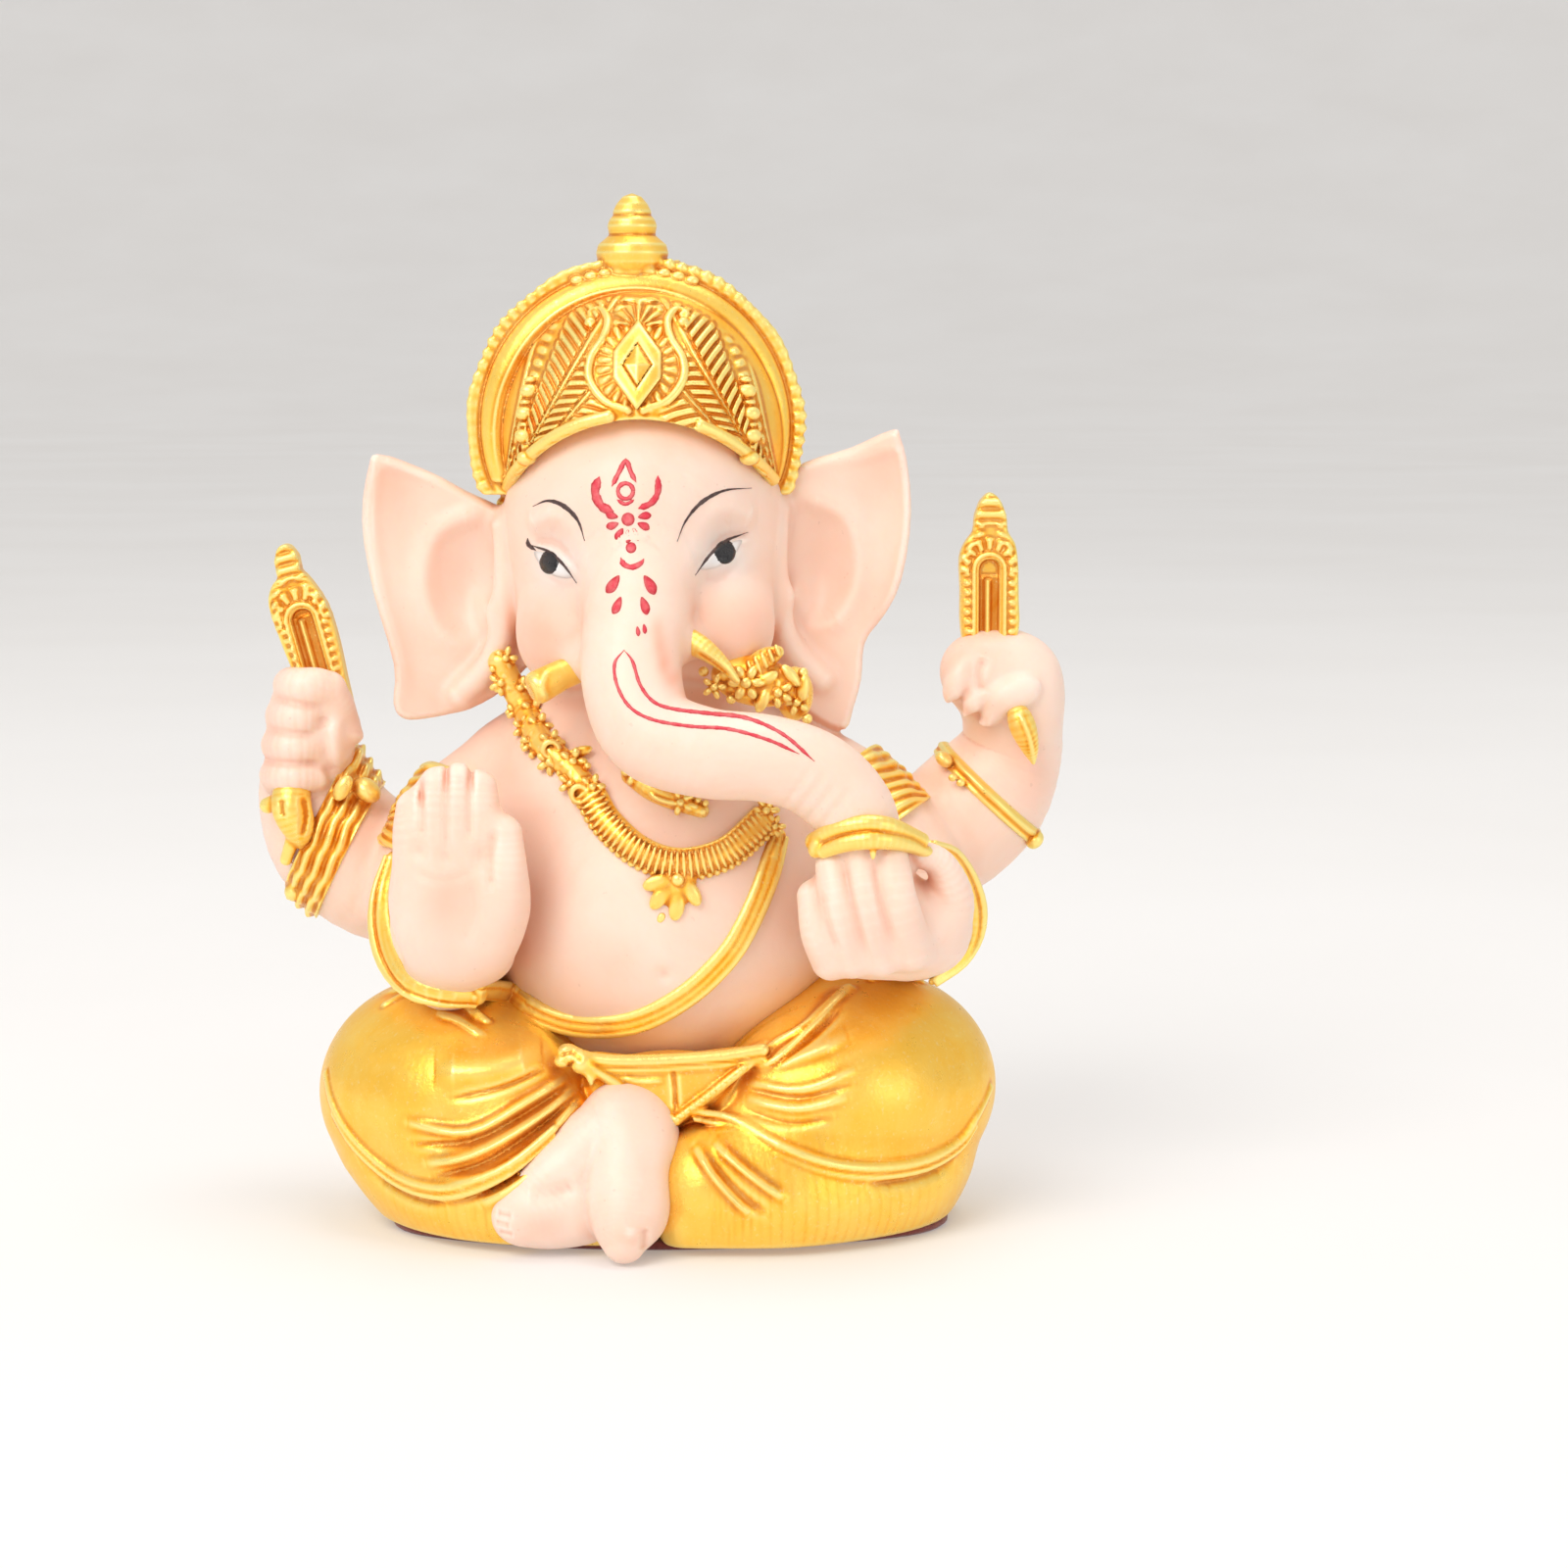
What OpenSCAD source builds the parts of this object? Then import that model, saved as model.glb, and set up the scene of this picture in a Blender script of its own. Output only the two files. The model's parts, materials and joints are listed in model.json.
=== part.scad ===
// Seated elephant-headed household idol, cast in marble resin and painted gold.
// The figure faces -Y. "right" and "left" are the figure's own, so right is -X.
// Every form is drawn for a figure 100 mm tall, then scaled to figure_h.
// Each node is cut by the nodes under it, so pieces meet face to face.

/* [Figure] */
// Height from the shelf to the tip of the finial
figure_h = 100; // [60:1:200]

/* [Base] */
// Thickness of the felt pad under the seat
pad_t = 0.8; // [0.5:0.1:1]
// How far the pad stays inside the edge of the seat
pad_inset = 2.5; // [1.5:0.1:4]

/* [Body] */
// Half width of the belly
belly_rx = 18; // [17:0.1:19]
// Half depth of the belly
belly_ry = 16.5; // [15.5:0.1:17.5]
// Half height of the belly
belly_rz = 18; // [17:0.1:19]

/* [Crown] */
// Outer radius of the crown's ridge
ridge_r = 16.6; // [16:0.1:17.2]
// Width of the ridge across its face
ridge_w = 2.6; // [2:0.1:3]
// Depth of the ridge, front to back
ridge_t = 4.6; // [3.5:0.1:5.5]

/* [Ornaments] */
// Thickness of the cord that crosses the belly
sash_r = 1.15; // [0.8:0.05:1.5]
// Thickness of the flower garland
garland_r = 1.7; // [1.2:0.05:2.2]
// Thickness of the metal of an armlet
armlet_t = 0.9; // [0.6:0.05:1.2]

/* [Hidden] */
fine = 20;
medium = 14;
coarse = 10;

skin = [0.93, 0.80, 0.73];
gold = [0.86, 0.62, 0.18];
felt = [0.30, 0.08, 0.08];

belly_c = [2, 0, 31];
waist_z = 18.4;
ridge_c = [-0.4, 0.5, 77.4];
panel_c = [0.3, 1, 76.4];
panel_r = [13.7, 14.2, 14.6];

// Limbs and cords: [x, y, z, radius] along each centreline
trunk_line = [
    [0.3, -11.5, 65.5, 5.2], [0, -15.8, 59.5, 5], [-0.2, -19, 54, 4.7],
    [2, -21, 49.8, 4.4], [7.2, -21.8, 48, 4.1], [12.6, -21.4, 47.5, 4.0],
    [17.2, -20.6, 45.8, 4.1], [20.3, -19.8, 42.4, 3.9], [21.4, -19.2, 39, 3.6]
];
rear_right_line = [
    [-16, 5, 32.5, 6], [-24.6, 6, 31.2, 6.2], [-30.4, 6, 34.8, 6.7], [-33.2, 5.5, 41.2, 5]
];
rear_left_line = [
    [16, 5, 33.4, 6.2], [28.2, 6, 34.8, 6.3], [34.2, 6, 40.2, 6.3], [37.2, 5.5, 47, 4.8]
];
front_right_line = [
    [-13, 1, 42.4, 6], [-18.6, 0, 38, 6], [-21, -2.5, 30.4, 5.5], [-18, -12, 27, 4.2]
];
front_left_line = [
    [14, 1, 42.6, 6.4], [20.4, 0, 39.2, 6.2], [26.4, -3, 30.6, 5.7], [24.5, -13, 29.5, 4.6]
];

// Outline of each ear, from the top of its root round the outer edge: [x, y, z]
ear_right_root = [[-11.6, 0.5, 67], [-12.5, -1, 61], [-13.4, 0, 54.5]];
ear_right_edge = [
    [-16.6, 1.4, 69.2], [-21.6, 1.6, 72], [-25.2, 1, 73.6], [-26.2, 0.5, 68.3],
    [-25.2, 0, 61.6], [-23, 0, 53], [-22.8, 0.5, 50], [-17.9, 1.2, 50.6]
];
ear_left_root = [[12, 0.5, 68], [13.8, -1, 61], [14.6, 0, 53.5]];
ear_left_edge = [
    [16.4, 1.4, 72.4], [20.8, 1.6, 74.2], [24.4, 1, 75.8], [25.3, 0.5, 69.3],
    [24.3, 0, 62.4], [20.8, 0, 56], [20.6, 0.5, 52.6], [19.4, 1.2, 49]
];

// Y of the belly's skin at a given X and Z
function belly_y(x, z) = belly_c.y - belly_ry * sqrt(max(0.02,
    1 - pow((x - belly_c.x) / belly_rx, 2) - pow((z - belly_c.z) / belly_rz, 2)));
// A cord that lies on the belly through points [x, z]
function on_belly(points, r) = [for (p = points) [p.x, belly_y(p.x, p.y) - 0.2 * r, p.y, r]];
function xyz(p) = [p.x, p.y, p.z];

module ball(p, r, fn = coarse) translate(p) sphere(r, $fn = fn);

module lump(p, r, turn = [0, 0, 0], fn = fine)
    hull() translate(p) rotate(turn) scale(r) sphere(1, $fn = fn);

module line(points, fn = coarse)
    for (i = [0 : len(points) - 2]) hull() {
        ball(xyz(points[i]), points[i][3], fn);
        ball(xyz(points[i + 1]), points[i + 1][3], fn);
    }

// Points an object's Z axis along the line from a to b, at a
module along(a, b) {
    d = b - a;
    translate(a)
        rotate([0, acos(d.z / norm(d)), atan2(d.y, d.x)]) children();
}

module above(z) translate([-60, -60, z]) cube([120, 120, 120]);

// ---- seat, legs and feet ----
module seat_outline(inset = 0) {
    hull() {
        translate([-13.5, -5]) circle(10 - inset, $fn = 32);
        translate([20, -5]) circle(10.5 - inset, $fn = 32);
        translate([3, -8]) circle(12 - inset, $fn = 32);
        translate([2, 5]) circle(13 - inset, $fn = 32);
    }
}

module base_pad() color(felt) linear_extrude(pad_t) seat_outline(pad_inset);

module seat_form() {
    hull() {
        translate([0, 0, pad_t]) linear_extrude(1) seat_outline();
        lump([2, 4, 10], [20, 14.5, 8], fn = 28);
    }
    hull() {
        lump([0, 6, 13], [19, 13, 8]);
        lump([2, -5, 11], [18, 14, 6]);
    }
}

module right_leg_form() intersection() {
    union() {
        hull() {
            lump([-9, 3, 13.5], [10, 10, 9.5]);
            lump([-19.4, -4.5, 12.6], [12.6, 12.5, 11.4]);
        }
        hull() {
            lump([-18.6, -7, 8], [11.6, 11, 8]);
            lump([-5, -16.5, 8], [6, 5.5, 7.2]);
        }
    }
    above(pad_t);
}

module left_leg_form() intersection() {
    union() {
        hull() {
            lump([12, 3, 14], [10, 10, 9.5]);
            lump([22.4, -4.5, 13.2], [12.8, 12.5, 11.4]);
        }
        hull() {
            lump([22, -7, 8.5], [12, 11, 8]);
            lump([8, -17, 7], [6, 5.5, 6.6]);
        }
    }
    above(pad_t);
}

module dhoti_seat() color(gold) difference() {
    intersection() { seat_form(); above(pad_t); }
    torso_form();
}

module dhoti_right_leg() color(gold) difference() {
    right_leg_form();
    seat_form();
    torso_form();
}

module dhoti_left_leg() color(gold) difference() {
    left_leg_form();
    seat_form();
    torso_form();
    right_leg_form();
}

// A raised hem that runs along the front of each lower leg
hem_right_line = [
    [-29.8, -11.4, 13, 0.5], [-27.5, -14.2, 9.7, 0.6], [-23.8, -17, 6.8, 0.6], [-20.1, -18.2, 5.9, 0.6],
    [-16.3, -19.2, 6.4, 0.6], [-11.7, -20, 8.7, 0.6], [-7, -20.4, 12, 0.5]
];
hem_left_line = [
    [32.8, -10.8, 11.8, 0.5], [31, -14, 9.2, 0.6], [27.5, -16.8, 7.8, 0.6], [22.8, -18.6, 7.8, 0.6],
    [18.1, -19.4, 8.7, 0.6], [13.5, -20.2, 10.6, 0.6], [9.4, -19.4, 12.8, 0.5]
];

module dhoti_hem_right() color(gold) difference() {
    line(hem_right_line);
    right_leg_form();
    right_foot_form();
    left_foot_form();
    pleat_form();
}

module dhoti_hem_left() color(gold) difference() {
    line(hem_left_line);
    left_leg_form();
    left_foot_form();
    pleat_form();
}

module pleat_form() hull() {
    ball([-3, -16.6, 17.2], 1.4);
    ball([9.4, -16.4, 17.6], 1.4);
    ball([3.8, -19.6, 13], 1.4);
}

module front_pleat() color(gold) difference() {
    pleat_form();
    torso_form();
    seat_form();
    right_leg_form();
    left_leg_form();
}

module belt_form()
    line(on_belly([for (x = [-6 : 2 : 12]) [x, waist_z + 0.01 * pow(x - 3, 2)]], 0.95));

module waist_belt() color(gold) difference() {
    belt_form();
    torso_form();
    right_leg_form();
    left_leg_form();
    pleat_form();
}

module belt_knot() color(gold) difference() {
    union() {
        lump([-5.6, -17, 18.4], [1.7, 1.5, 1.5], fn = medium);
        lump([-4.4, -17.8, 17.4], [1.2, 1, 1], fn = medium);
    }
    torso_form();
    belt_form();
    pleat_form();
    right_leg_form();
}

module right_foot_form() {
    line([[-5, -18.5, 5.8, 3.6], [-7.6, -20.4, 4.8, 3], [-10.4, -21.4, 3.8, 2.4]], medium);
    lump([-11, -21.6, 3.8], [2, 1.8, 2.1], fn = medium);
}

module left_foot_form() {
    line([
        [-0.4, -18.6, 11.4, 3.6], [-0.8, -20.8, 9.4, 4.2], [-0.7, -23, 6, 3.6], [-0.9, -24.8, 3, 2.3]
    ], medium);
    lump([1.9, -22.4, 7], [1.7, 2.2, 4.6], fn = medium);
}

module right_foot() color(skin) difference() {
    right_foot_form();
    seat_form();
    right_leg_form();
    left_foot_form();
    left_leg_form();
}

module left_foot() color(skin) difference() {
    left_foot_form();
    seat_form();
    right_leg_form();
    left_leg_form();
    pleat_form();
    torso_form();
}

// ---- torso ----
module torso_form() {
    lump(belly_c, [belly_rx, belly_ry, belly_rz], fn = 28);
    hull() {
        lump([0, 2, 42.6], [14.4, 11, 7.6]);
        lump([1, 3, 33], [16, 12.5, 10]);
    }
    lump([0, 1, 50.5], [9.5, 8.5, 6]);
}

module torso() color(skin) intersection() {
    difference() {
        torso_form();
        head_form();
    }
    above(pad_t + 9);
}

// Route of the cord that crosses the belly, as [x, z]
cord_route = [
    [13, 38], [12, 33.9], [9.7, 29.4], [7, 26], [3.6, 23.2],
    [-0.5, 21.2], [-5.6, 20.6], [-10.2, 22], [-14.2, 25]
];

module sacred_cord_form() line(on_belly(cord_route, sash_r));

module sacred_cord() color(gold) difference() {
    sacred_cord_form();
    torso_form();
    right_leg_form();
    front_right_arm_form();
}

module shawl_right_form() line([
    [-13.6, -12.6, 25.6, 1.3], [-17.6, -16, 25.2, 1.4], [-21.8, -12.8, 26.6, 1.4],
    [-24.4, -8.6, 29.4, 1.3], [-25.4, -4.6, 32.6, 1.2]
]);

module shawl_right() color(gold) difference() {
    shawl_right_form();
    front_right_arm_form();
    right_leg_form();
    hand_front_right_form();
    torso_form();
    sacred_cord_form();
}

module shawl_left_form() line([
    [17, -22.6, 38.6, 1.2], [20.4, -24, 39.8, 1.5], [25, -21.4, 39.4, 1.4],
    [29.4, -14.6, 36.2, 1.2], [31.6, -8, 31.4, 1.1], [30.4, -6, 26, 1]
]);

module shawl_left() color(gold) difference() {
    shawl_left_form();
    front_left_arm_form();
    left_leg_form();
    hand_front_left_form();
    trunk_form();
}

// ---- head ----
module head_form() {
    lump([0.3, 0.5, 69], [13.8, 12.5, 13.5], fn = 24);
    lump([0.5, -2, 61], [12.2, 11, 9.5]);
    for (side = [-1, 1]) lump([0.8 + side * 7.2, -7.2, 58.6], [5.4, 5.4, 6.4], fn = medium);
    lump([0.4, -6.5, 69], [9.5, 7.5, 9]);
}

module trunk_form() line(trunk_line, medium);

module head() color(skin) head_form();

module trunk() color(skin) difference() {
    trunk_form();
    head_form();
    torso_form();
}

module ear_form(root, edge) {
    r = 1.1;
    all = concat([root[0]], edge, [root[2]]);
    for (i = [0 : len(all) - 2]) hull() {
        ball(all[i], r);
        ball(all[i + 1], r);
        ball(root[1], 1.5);
    }
}

module ear_right() color(skin) difference() {
    ear_form(ear_right_root, ear_right_edge);
    head_form();
    torso_form();
    ridge_form();
}

module ear_left() color(skin) difference() {
    ear_form(ear_left_root, ear_left_edge);
    head_form();
    torso_form();
    ridge_form();
}

module tusk_form(a, b, ra, rb) hull() {
    ball(a, ra, medium);
    ball(b, rb, medium);
}

module tusk_right() color(gold) difference() {
    tusk_form([-4.6, -13, 55.8], [-9.4, -15.4, 53.2], 1.5, 1.7);
    head_form();
    trunk_form();
}

module tusk_left() color(gold) difference() {
    tusk_form([4.6, -13.5, 57.6], [10, -14.4, 54.4], 1.3, 0.7);
    head_form();
    trunk_form();
}

// ---- crown ----
module cap_form() intersection() {
    lump([0, 4.5, 77.6], [15.4, 13, 16.2], fn = 24);
    above(68.5);
    translate([-30, ridge_c.y - 1, 40]) cube([60, 40, 60]);
}

scallops = 34;
scallop_h = 0.35;
module ridge_outline() difference() {
    polygon([for (i = [0 : 6 * scallops - 1]) let (a = i * 60 / scallops)
        (ridge_r - scallop_h + scallop_h * abs(sin(a * scallops / 2))) * [cos(a), sin(a)]]);
    circle(ridge_r - ridge_w, $fn = 96);
}

module ridge_form() intersection() {
    translate(ridge_c + [0, ridge_t / 2, 0]) rotate([90, 0, 0]) linear_extrude(ridge_t) ridge_outline();
    above(ridge_c.z - 6);
}

// Smooth band that overhangs the front panel, inside the ridge
module band_form() intersection() {
    translate(ridge_c - [0, ridge_t / 2, 0.2]) rotate([90, 0, 0]) difference() {
        cylinder(h = 2.6, r1 = ridge_r - 1, r2 = ridge_r - 2.6, $fn = 64);
        translate([0, 0, -1]) cylinder(h = 5, r = ridge_r - 4.4, $fn = 64);
    }
    above(ridge_c.z - 2);
}

module panel_form() difference() {
    lump(panel_c, panel_r, fn = 24);
    translate([-30, ridge_c.y, 40]) cube([60, 40, 60]);
    brow_cut();
}

// The crown's lower edge rises from the temples to the middle of the brow
brow_z = 63.2;
brow_r = 15.1;
module brow_cut() {
    translate([0, 0, brow_z]) rotate([90, 0, 0]) cylinder(h = 60, r = brow_r, center = true, $fn = 48);
    translate([-30, -30, 40]) cube([60, 60, 30]);
}

// Y of the panel's face at a given X and Z
function panel_y(x, z) = panel_c.y - panel_r.y * sqrt(max(0.02,
    1 - pow((x - panel_c.x) / panel_r.x, 2) - pow((z - panel_c.z) / panel_r.z, 2)));
function on_panel(points, r) = [for (p = points) [p.x, panel_y(p.x, p.y) - 0.3 * r, p.y, r]];

scroll_route = [[1, 79], [3.4, 80.2], [4.7, 82.6], [4, 85], [3, 86.6], [3.2, 88], [4.6, 87.6]];
rim_route = [for (a = [-52 : 13 : 52]) [(brow_r + 0.5) * sin(a), brow_z + (brow_r + 0.5) * cos(a)]];
bead_route = [[10.6, 76.4], [10.8, 78.1], [10.6, 79.8], [10.1, 81.4]];
function mirrored(points) = [for (p = points) [-p.x, p.y]];

module crown_cap() color(gold) difference() {
    cap_form();
    head_form();
    ridge_form();
    band_form();
    panel_form();
    finial_seat();
}

module crown_ridge() color(gold) difference() {
    ridge_form();
    head_form();
    panel_form();
    finial_seat();
}

module crown_band() color(gold) difference() {
    band_form();
    head_form();
    panel_form();
    ridge_form();
}

module crown_panel() color(gold) difference() {
    panel_form();
    head_form();
    lump(panel_c - [0, 0, 2], panel_r - [1.6, 1.6, 0.4], fn = 24);
}

module crown_rim() color(gold) difference() {
    line(on_panel(rim_route, 0.8));
    head_form();
    panel_form();
    ridge_form();
    band_form();
}

module scroll(points) difference() {
    line(on_panel(points, 0.55));
    panel_form();
    jewel_frame_form();
}

module crown_scroll_right() color(gold) scroll(mirrored(scroll_route));
module crown_scroll_left() color(gold) scroll(scroll_route);

// Four raised beads in a column at each end of the crown
module bead_column(points) difference() {
    union() {
        for (p = on_panel(points, 1.1)) ball(xyz(p), 1.1, coarse);
        line(on_panel(points, 0.8));
    }
    panel_form();
    band_form();
}

module crown_beads_right() color(gold) bead_column(mirrored(bead_route));
module crown_beads_left() color(gold) bead_column(bead_route);

jewel_at = [0, -11.8, 83.4];
jewel_lean = 64;
module jewel_plate(half_w, half_h, t) translate(jewel_at) rotate([jewel_lean, 0, 0])
    linear_extrude(t) polygon([
        [-half_w, 0], [-half_w * 0.5, half_h * 0.6], [0, half_h], [half_w * 0.5, half_h * 0.6],
        [half_w, 0], [half_w * 0.5, -half_h * 0.6], [0, -half_h], [-half_w * 0.5, -half_h * 0.6]
    ]);

module jewel_frame_form() difference() {
    jewel_plate(2.4, 3.4, 1.3);
    jewel_plate(1.5, 2.2, 2);
}

module crown_jewel_frame() color(gold) difference() {
    jewel_frame_form();
    panel_form();
}

module crown_jewel() color(gold) difference() {
    jewel_plate(1.5, 2.2, 1.7);
    panel_form();
}

finial_z = 92.2;
module finial_seat() translate([ridge_c.x, ridge_c.y, finial_z]) cylinder(h = 3, r = 3.6, $fn = 32);

module crown_finial() color(gold) translate([ridge_c.x, ridge_c.y, finial_z]) rotate_extrude($fn = 48)
    polygon([
        [0, 0], [2.7, 0], [2.7, 0.9], [3.2, 1.6], [3.3, 2.4], [3, 3.2], [2.1, 3.7],
        [2.1, 4.3], [1.9, 5.2], [1.5, 6.2], [1, 7], [0.5, 7.6], [0, 7.8]
    ]);

// ---- arms and hands ----
module front_right_arm_form() line(front_right_line, medium);
module front_left_arm_form() line(front_left_line, medium);
module rear_right_arm_form() line(rear_right_line, medium);
module rear_left_arm_form() line(rear_left_line, medium);

module upper_arm_front_right() color(skin) difference() {
    front_right_arm_form();
    torso_form();
    right_leg_form();
    seat_form();
    hand_front_right_form();
}

module upper_arm_front_left() color(skin) difference() {
    front_left_arm_form();
    torso_form();
    left_leg_form();
    seat_form();
    hand_front_left_form();
}

// Open palm with four upright fingers and a thumb
module hand_front_right_form() {
    hull() {
        lump([-16.6, -18, 31.6], [5.6, 2.8, 4.6], fn = medium);
        lump([-17, -18.2, 36.8], [5.8, 2.3, 3.4], fn = medium);
    }
    for (f = [[-20.9, 38, 42.2], [-18.6, 39, 44.8], [-16, 39, 45.4], [-13.8, 38, 43.6]])
        hull() {
            ball([f[0], -18.4, f[1] - 1], 1.6);
            ball([f[0], -17.8, f[2] - 0.6], 1.4);
        }
    hull() {
        ball([-12.6, -18.8, 33.5], 1.9);
        ball([-11.4, -18.4, 39.6], 1.5);
    }
}

module hand_front_right() color(skin) difference() {
    hand_front_right_form();
    torso_form();
    right_leg_form();
}

// Cupped hand, seen from the back of its curled fingers
module hand_front_left_form() {
    hull() {
        lump([23.4, -18, 31], [6.2, 4.6, 5], fn = medium);
        lump([26.4, -15, 33], [4.2, 4, 5], fn = medium);
    }
    for (i = [0 : 3])
        hull() {
            ball([19.2 + 2.4 * i, -20.8 - 0.4 * i, 28.8 - 0.3 * i], 1.5);
            ball([17 + 2.6 * i, -22 - 0.2 * i, 34 + 1.2 * min(i, 2)], 1.5);
        }
}

module hand_front_left() color(skin) difference() {
    hand_front_left_form();
    torso_form();
    left_leg_form();
    trunk_form();
}

// Sweet held in the cupped hand, at the tip of the trunk
module modak() color(skin) difference() {
    lump([21.8, -17.8, 36.6], [3.4, 3.2, 2.4], fn = medium);
    hand_front_left_form();
    trunk_form();
    front_left_arm_form();
    torso_form();
}

module trunk_bowl() color(gold) difference() {
    line([[16.4, -21.8, 40.6, 1.1], [20.2, -23.6, 42, 1.3], [24.6, -21.2, 41.6, 1.1]]);
    trunk_form();
    shawl_left_form();
    front_left_arm_form();
}

module arm_rear_right() color(skin) difference() {
    rear_right_arm_form();
    torso_form();
    front_right_arm_form();
    hand_rear_right_form();
    armlet_rear_right();
}

module arm_rear_left() color(skin) difference() {
    rear_left_arm_form();
    torso_form();
    front_left_arm_form();
    hand_rear_left_form();
    armlet_rear_left();
}

// Fist closed round a shaft that stands at axis point c, tilted by turn
module fist_form(c, turn, r) translate(c) rotate(turn) {
    lump([0, 0.5, 0], [r, r * 0.95, r * 1.15], fn = medium);
    lump([0, -r * 0.35, 0], [r * 0.8, r * 0.55, r * 1.1], fn = coarse);
    for (k = [0 : 3]) hull() {
        ball([-r * 0.62, -r * 0.55, -r + k * r * 0.62], r * 0.34);
        ball([r * 0.55, -r * 0.6, -r + k * r * 0.62], r * 0.34);
    }
    lump([r * 0.75, -r * 0.3, r * 0.5], [r * 0.35, r * 0.5, r * 0.35], fn = coarse);
}

axe_at = [-32.6, 2.4, 47.4];
axe_turn = [0, -8, 0];
axe_butt_turn = [0, 15, 0];
goad_at = [34.6, 2, 53];
goad_turn = [0, 0, 0];
goad_butt_turn = [0, -32, 0];
shaft_r = 1.2;

// Room in a fist for a shaft that bends where the hand holds it
shaft_gap = 0.05;
module grip_hole(at, turn, butt_turn) {
    r = shaft_r + shaft_gap;
    translate(at) rotate(turn) line([[0, 0, 0, r], [0, 0, 15, r]], 24);
    translate(at) rotate(butt_turn) line([[0, 0, 0, r], [0, 0, -15, r]], 24);
}

module hand_rear_right_form() fist_form(axe_at, axe_turn, 4.8);
module hand_rear_left_form() fist_form(goad_at, goad_turn, 4.8);

module hand_rear_right() color(skin) difference() {
    hand_rear_right_form();
    grip_hole(axe_at, axe_turn, axe_butt_turn);
}

module hand_rear_left() color(skin) difference() {
    hand_rear_left_form();
    grip_hole(goad_at, goad_turn, goad_butt_turn);
}

// Leaf-shaped emblem with a window, on a shaft with a pointed cap and a bent, pointed butt
module emblem(at, turn, butt_turn, half_w, top, butt) {
    translate(at) rotate(turn) {
        rotate([90, 0, 0]) translate([0, 0, -1.3]) difference() {
            linear_extrude(2.6) emblem_outline(half_w, top);
            translate([0, 0, 1.6]) linear_extrude(2) offset(delta = -1) emblem_outline(half_w, top);
        }
        rotate([90, 0, 0]) translate([0, 0, 0.2]) linear_extrude(1.6) emblem_arch(half_w, top);
        translate([0, 0, top - 0.4]) cylinder(h = 1, r1 = 1.6, r2 = 2, $fn = 32);
        translate([0, 0, top + 0.6]) cylinder(h = 3.6, r1 = 1.7, r2 = 0.5, $fn = 32);
        cylinder(h = 6.5, r = shaft_r, $fn = 24);
    }
    translate(at) sphere(shaft_r, $fn = 24);
    translate(at) rotate(butt_turn) {
        translate([0, 0, -butt]) cylinder(h = butt, r = shaft_r, $fn = 24);
        translate([0, 0, -butt - 3.4]) cylinder(h = 3.4, r1 = 0.5, r2 = shaft_r, $fn = 24);
    }
}

module emblem_outline(half_w, top) {
    translate([0, top - half_w]) circle(half_w, $fn = 32);
    polygon([
        [-half_w, top - half_w], [half_w, top - half_w], [half_w * 0.85, 5.6], [-half_w * 0.85, 5.6]
    ]);
}

// Slender arch that stands in the window of the emblem
module emblem_arch(half_w, top) difference() {
    union() {
        translate([0, top - half_w]) circle(half_w * 0.45, $fn = 24);
        translate([-half_w * 0.45, 5.8]) square([half_w * 0.9, top - half_w - 5.8]);
    }
    translate([0, top - half_w]) circle(half_w * 0.2, $fn = 24);
    translate([-half_w * 0.2, 5]) square([half_w * 0.4, top - half_w - 5]);
}

module axe_right() color(gold) emblem(axe_at, axe_turn, axe_butt_turn, 3.2, 14.4, 7);
module goad_left() color(gold) emblem(goad_at, goad_turn, goad_butt_turn, 3, 13.6, 5);

// ---- armlets ----
// A ring round a limb between points i and j of its line, of inner radius r
module armlet_place(points, i, j, share) {
    a = xyz(points[i]);
    b = xyz(points[j]);
    along(a + (b - a) * share, b + (b - a)) children();
}

module armlet(points, i, j, share, r, width) armlet_place(points, i, j, share)
    rotate_extrude($fn = 48) polygon([
        [r, -width / 2], [r + armlet_t * 0.7, -width / 2], [r + armlet_t, -width * 0.3],
        [r + armlet_t * 0.6, 0], [r + armlet_t, width * 0.3], [r + armlet_t * 0.7, width / 2],
        [r, width / 2]
    ]);

module armlet_front_right() color(gold) difference() {
    armlet(front_right_line, 1, 2, 0.3, 5.9, 7);
    torso_form();
}

module armlet_front_left() color(gold) difference() {
    armlet(front_left_line, 1, 2, 0.25, 6.15, 6);
    torso_form();
}

module armlet_rear_right() color(gold) armlet(rear_right_line, 1, 2, 1.25, 6.6, 4.2);
module armlet_rear_left() color(gold) armlet(rear_left_line, 1, 2, 1, 6.3, 1.6);

// ---- garland and necklace ----
garland_line = [
    [-13.2, -8.6, 54.2], [-11, -11.4, 50.6], [-8.4, -12.6, 47.4], [-5.4, -14, 44.2],
    [-3.2, -15.2, 41], [0.4, -16.2, 37.8], [4.4, -16.4, 36.6], [8.8, -15.8, 37.6], [12.2, -13.4, 40.4]
];

module garland_form() line([for (p = garland_line) [p.x, p.y, p.z, garland_r]]);

module garland() color(gold) difference() {
    garland_form();
    torso_form();
    head_form();
    trunk_form();
    sacred_cord_form();
}

module garland_shoulder() color(gold) difference() {
    line([[7.6, -12, 54.4, 1.7], [11, -11.6, 54.4, 2.4], [14.8, -9, 53.2, 2.3]]);
    head_form();
    trunk_form();
    torso_form();
    tusk_form([4.6, -13.5, 57.6], [10, -14.4, 54.4], 1.3, 0.7);
    ear_form(ear_left_root, ear_left_edge);
}

module choker() color(gold) difference() {
    line([[0, -13.6, 43.8, 1.2], [3, -14.4, 42.6, 1.5], [6, -14, 41.6, 1.1]]);
    torso_form();
    garland_form();
    trunk_form();
}

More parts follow.
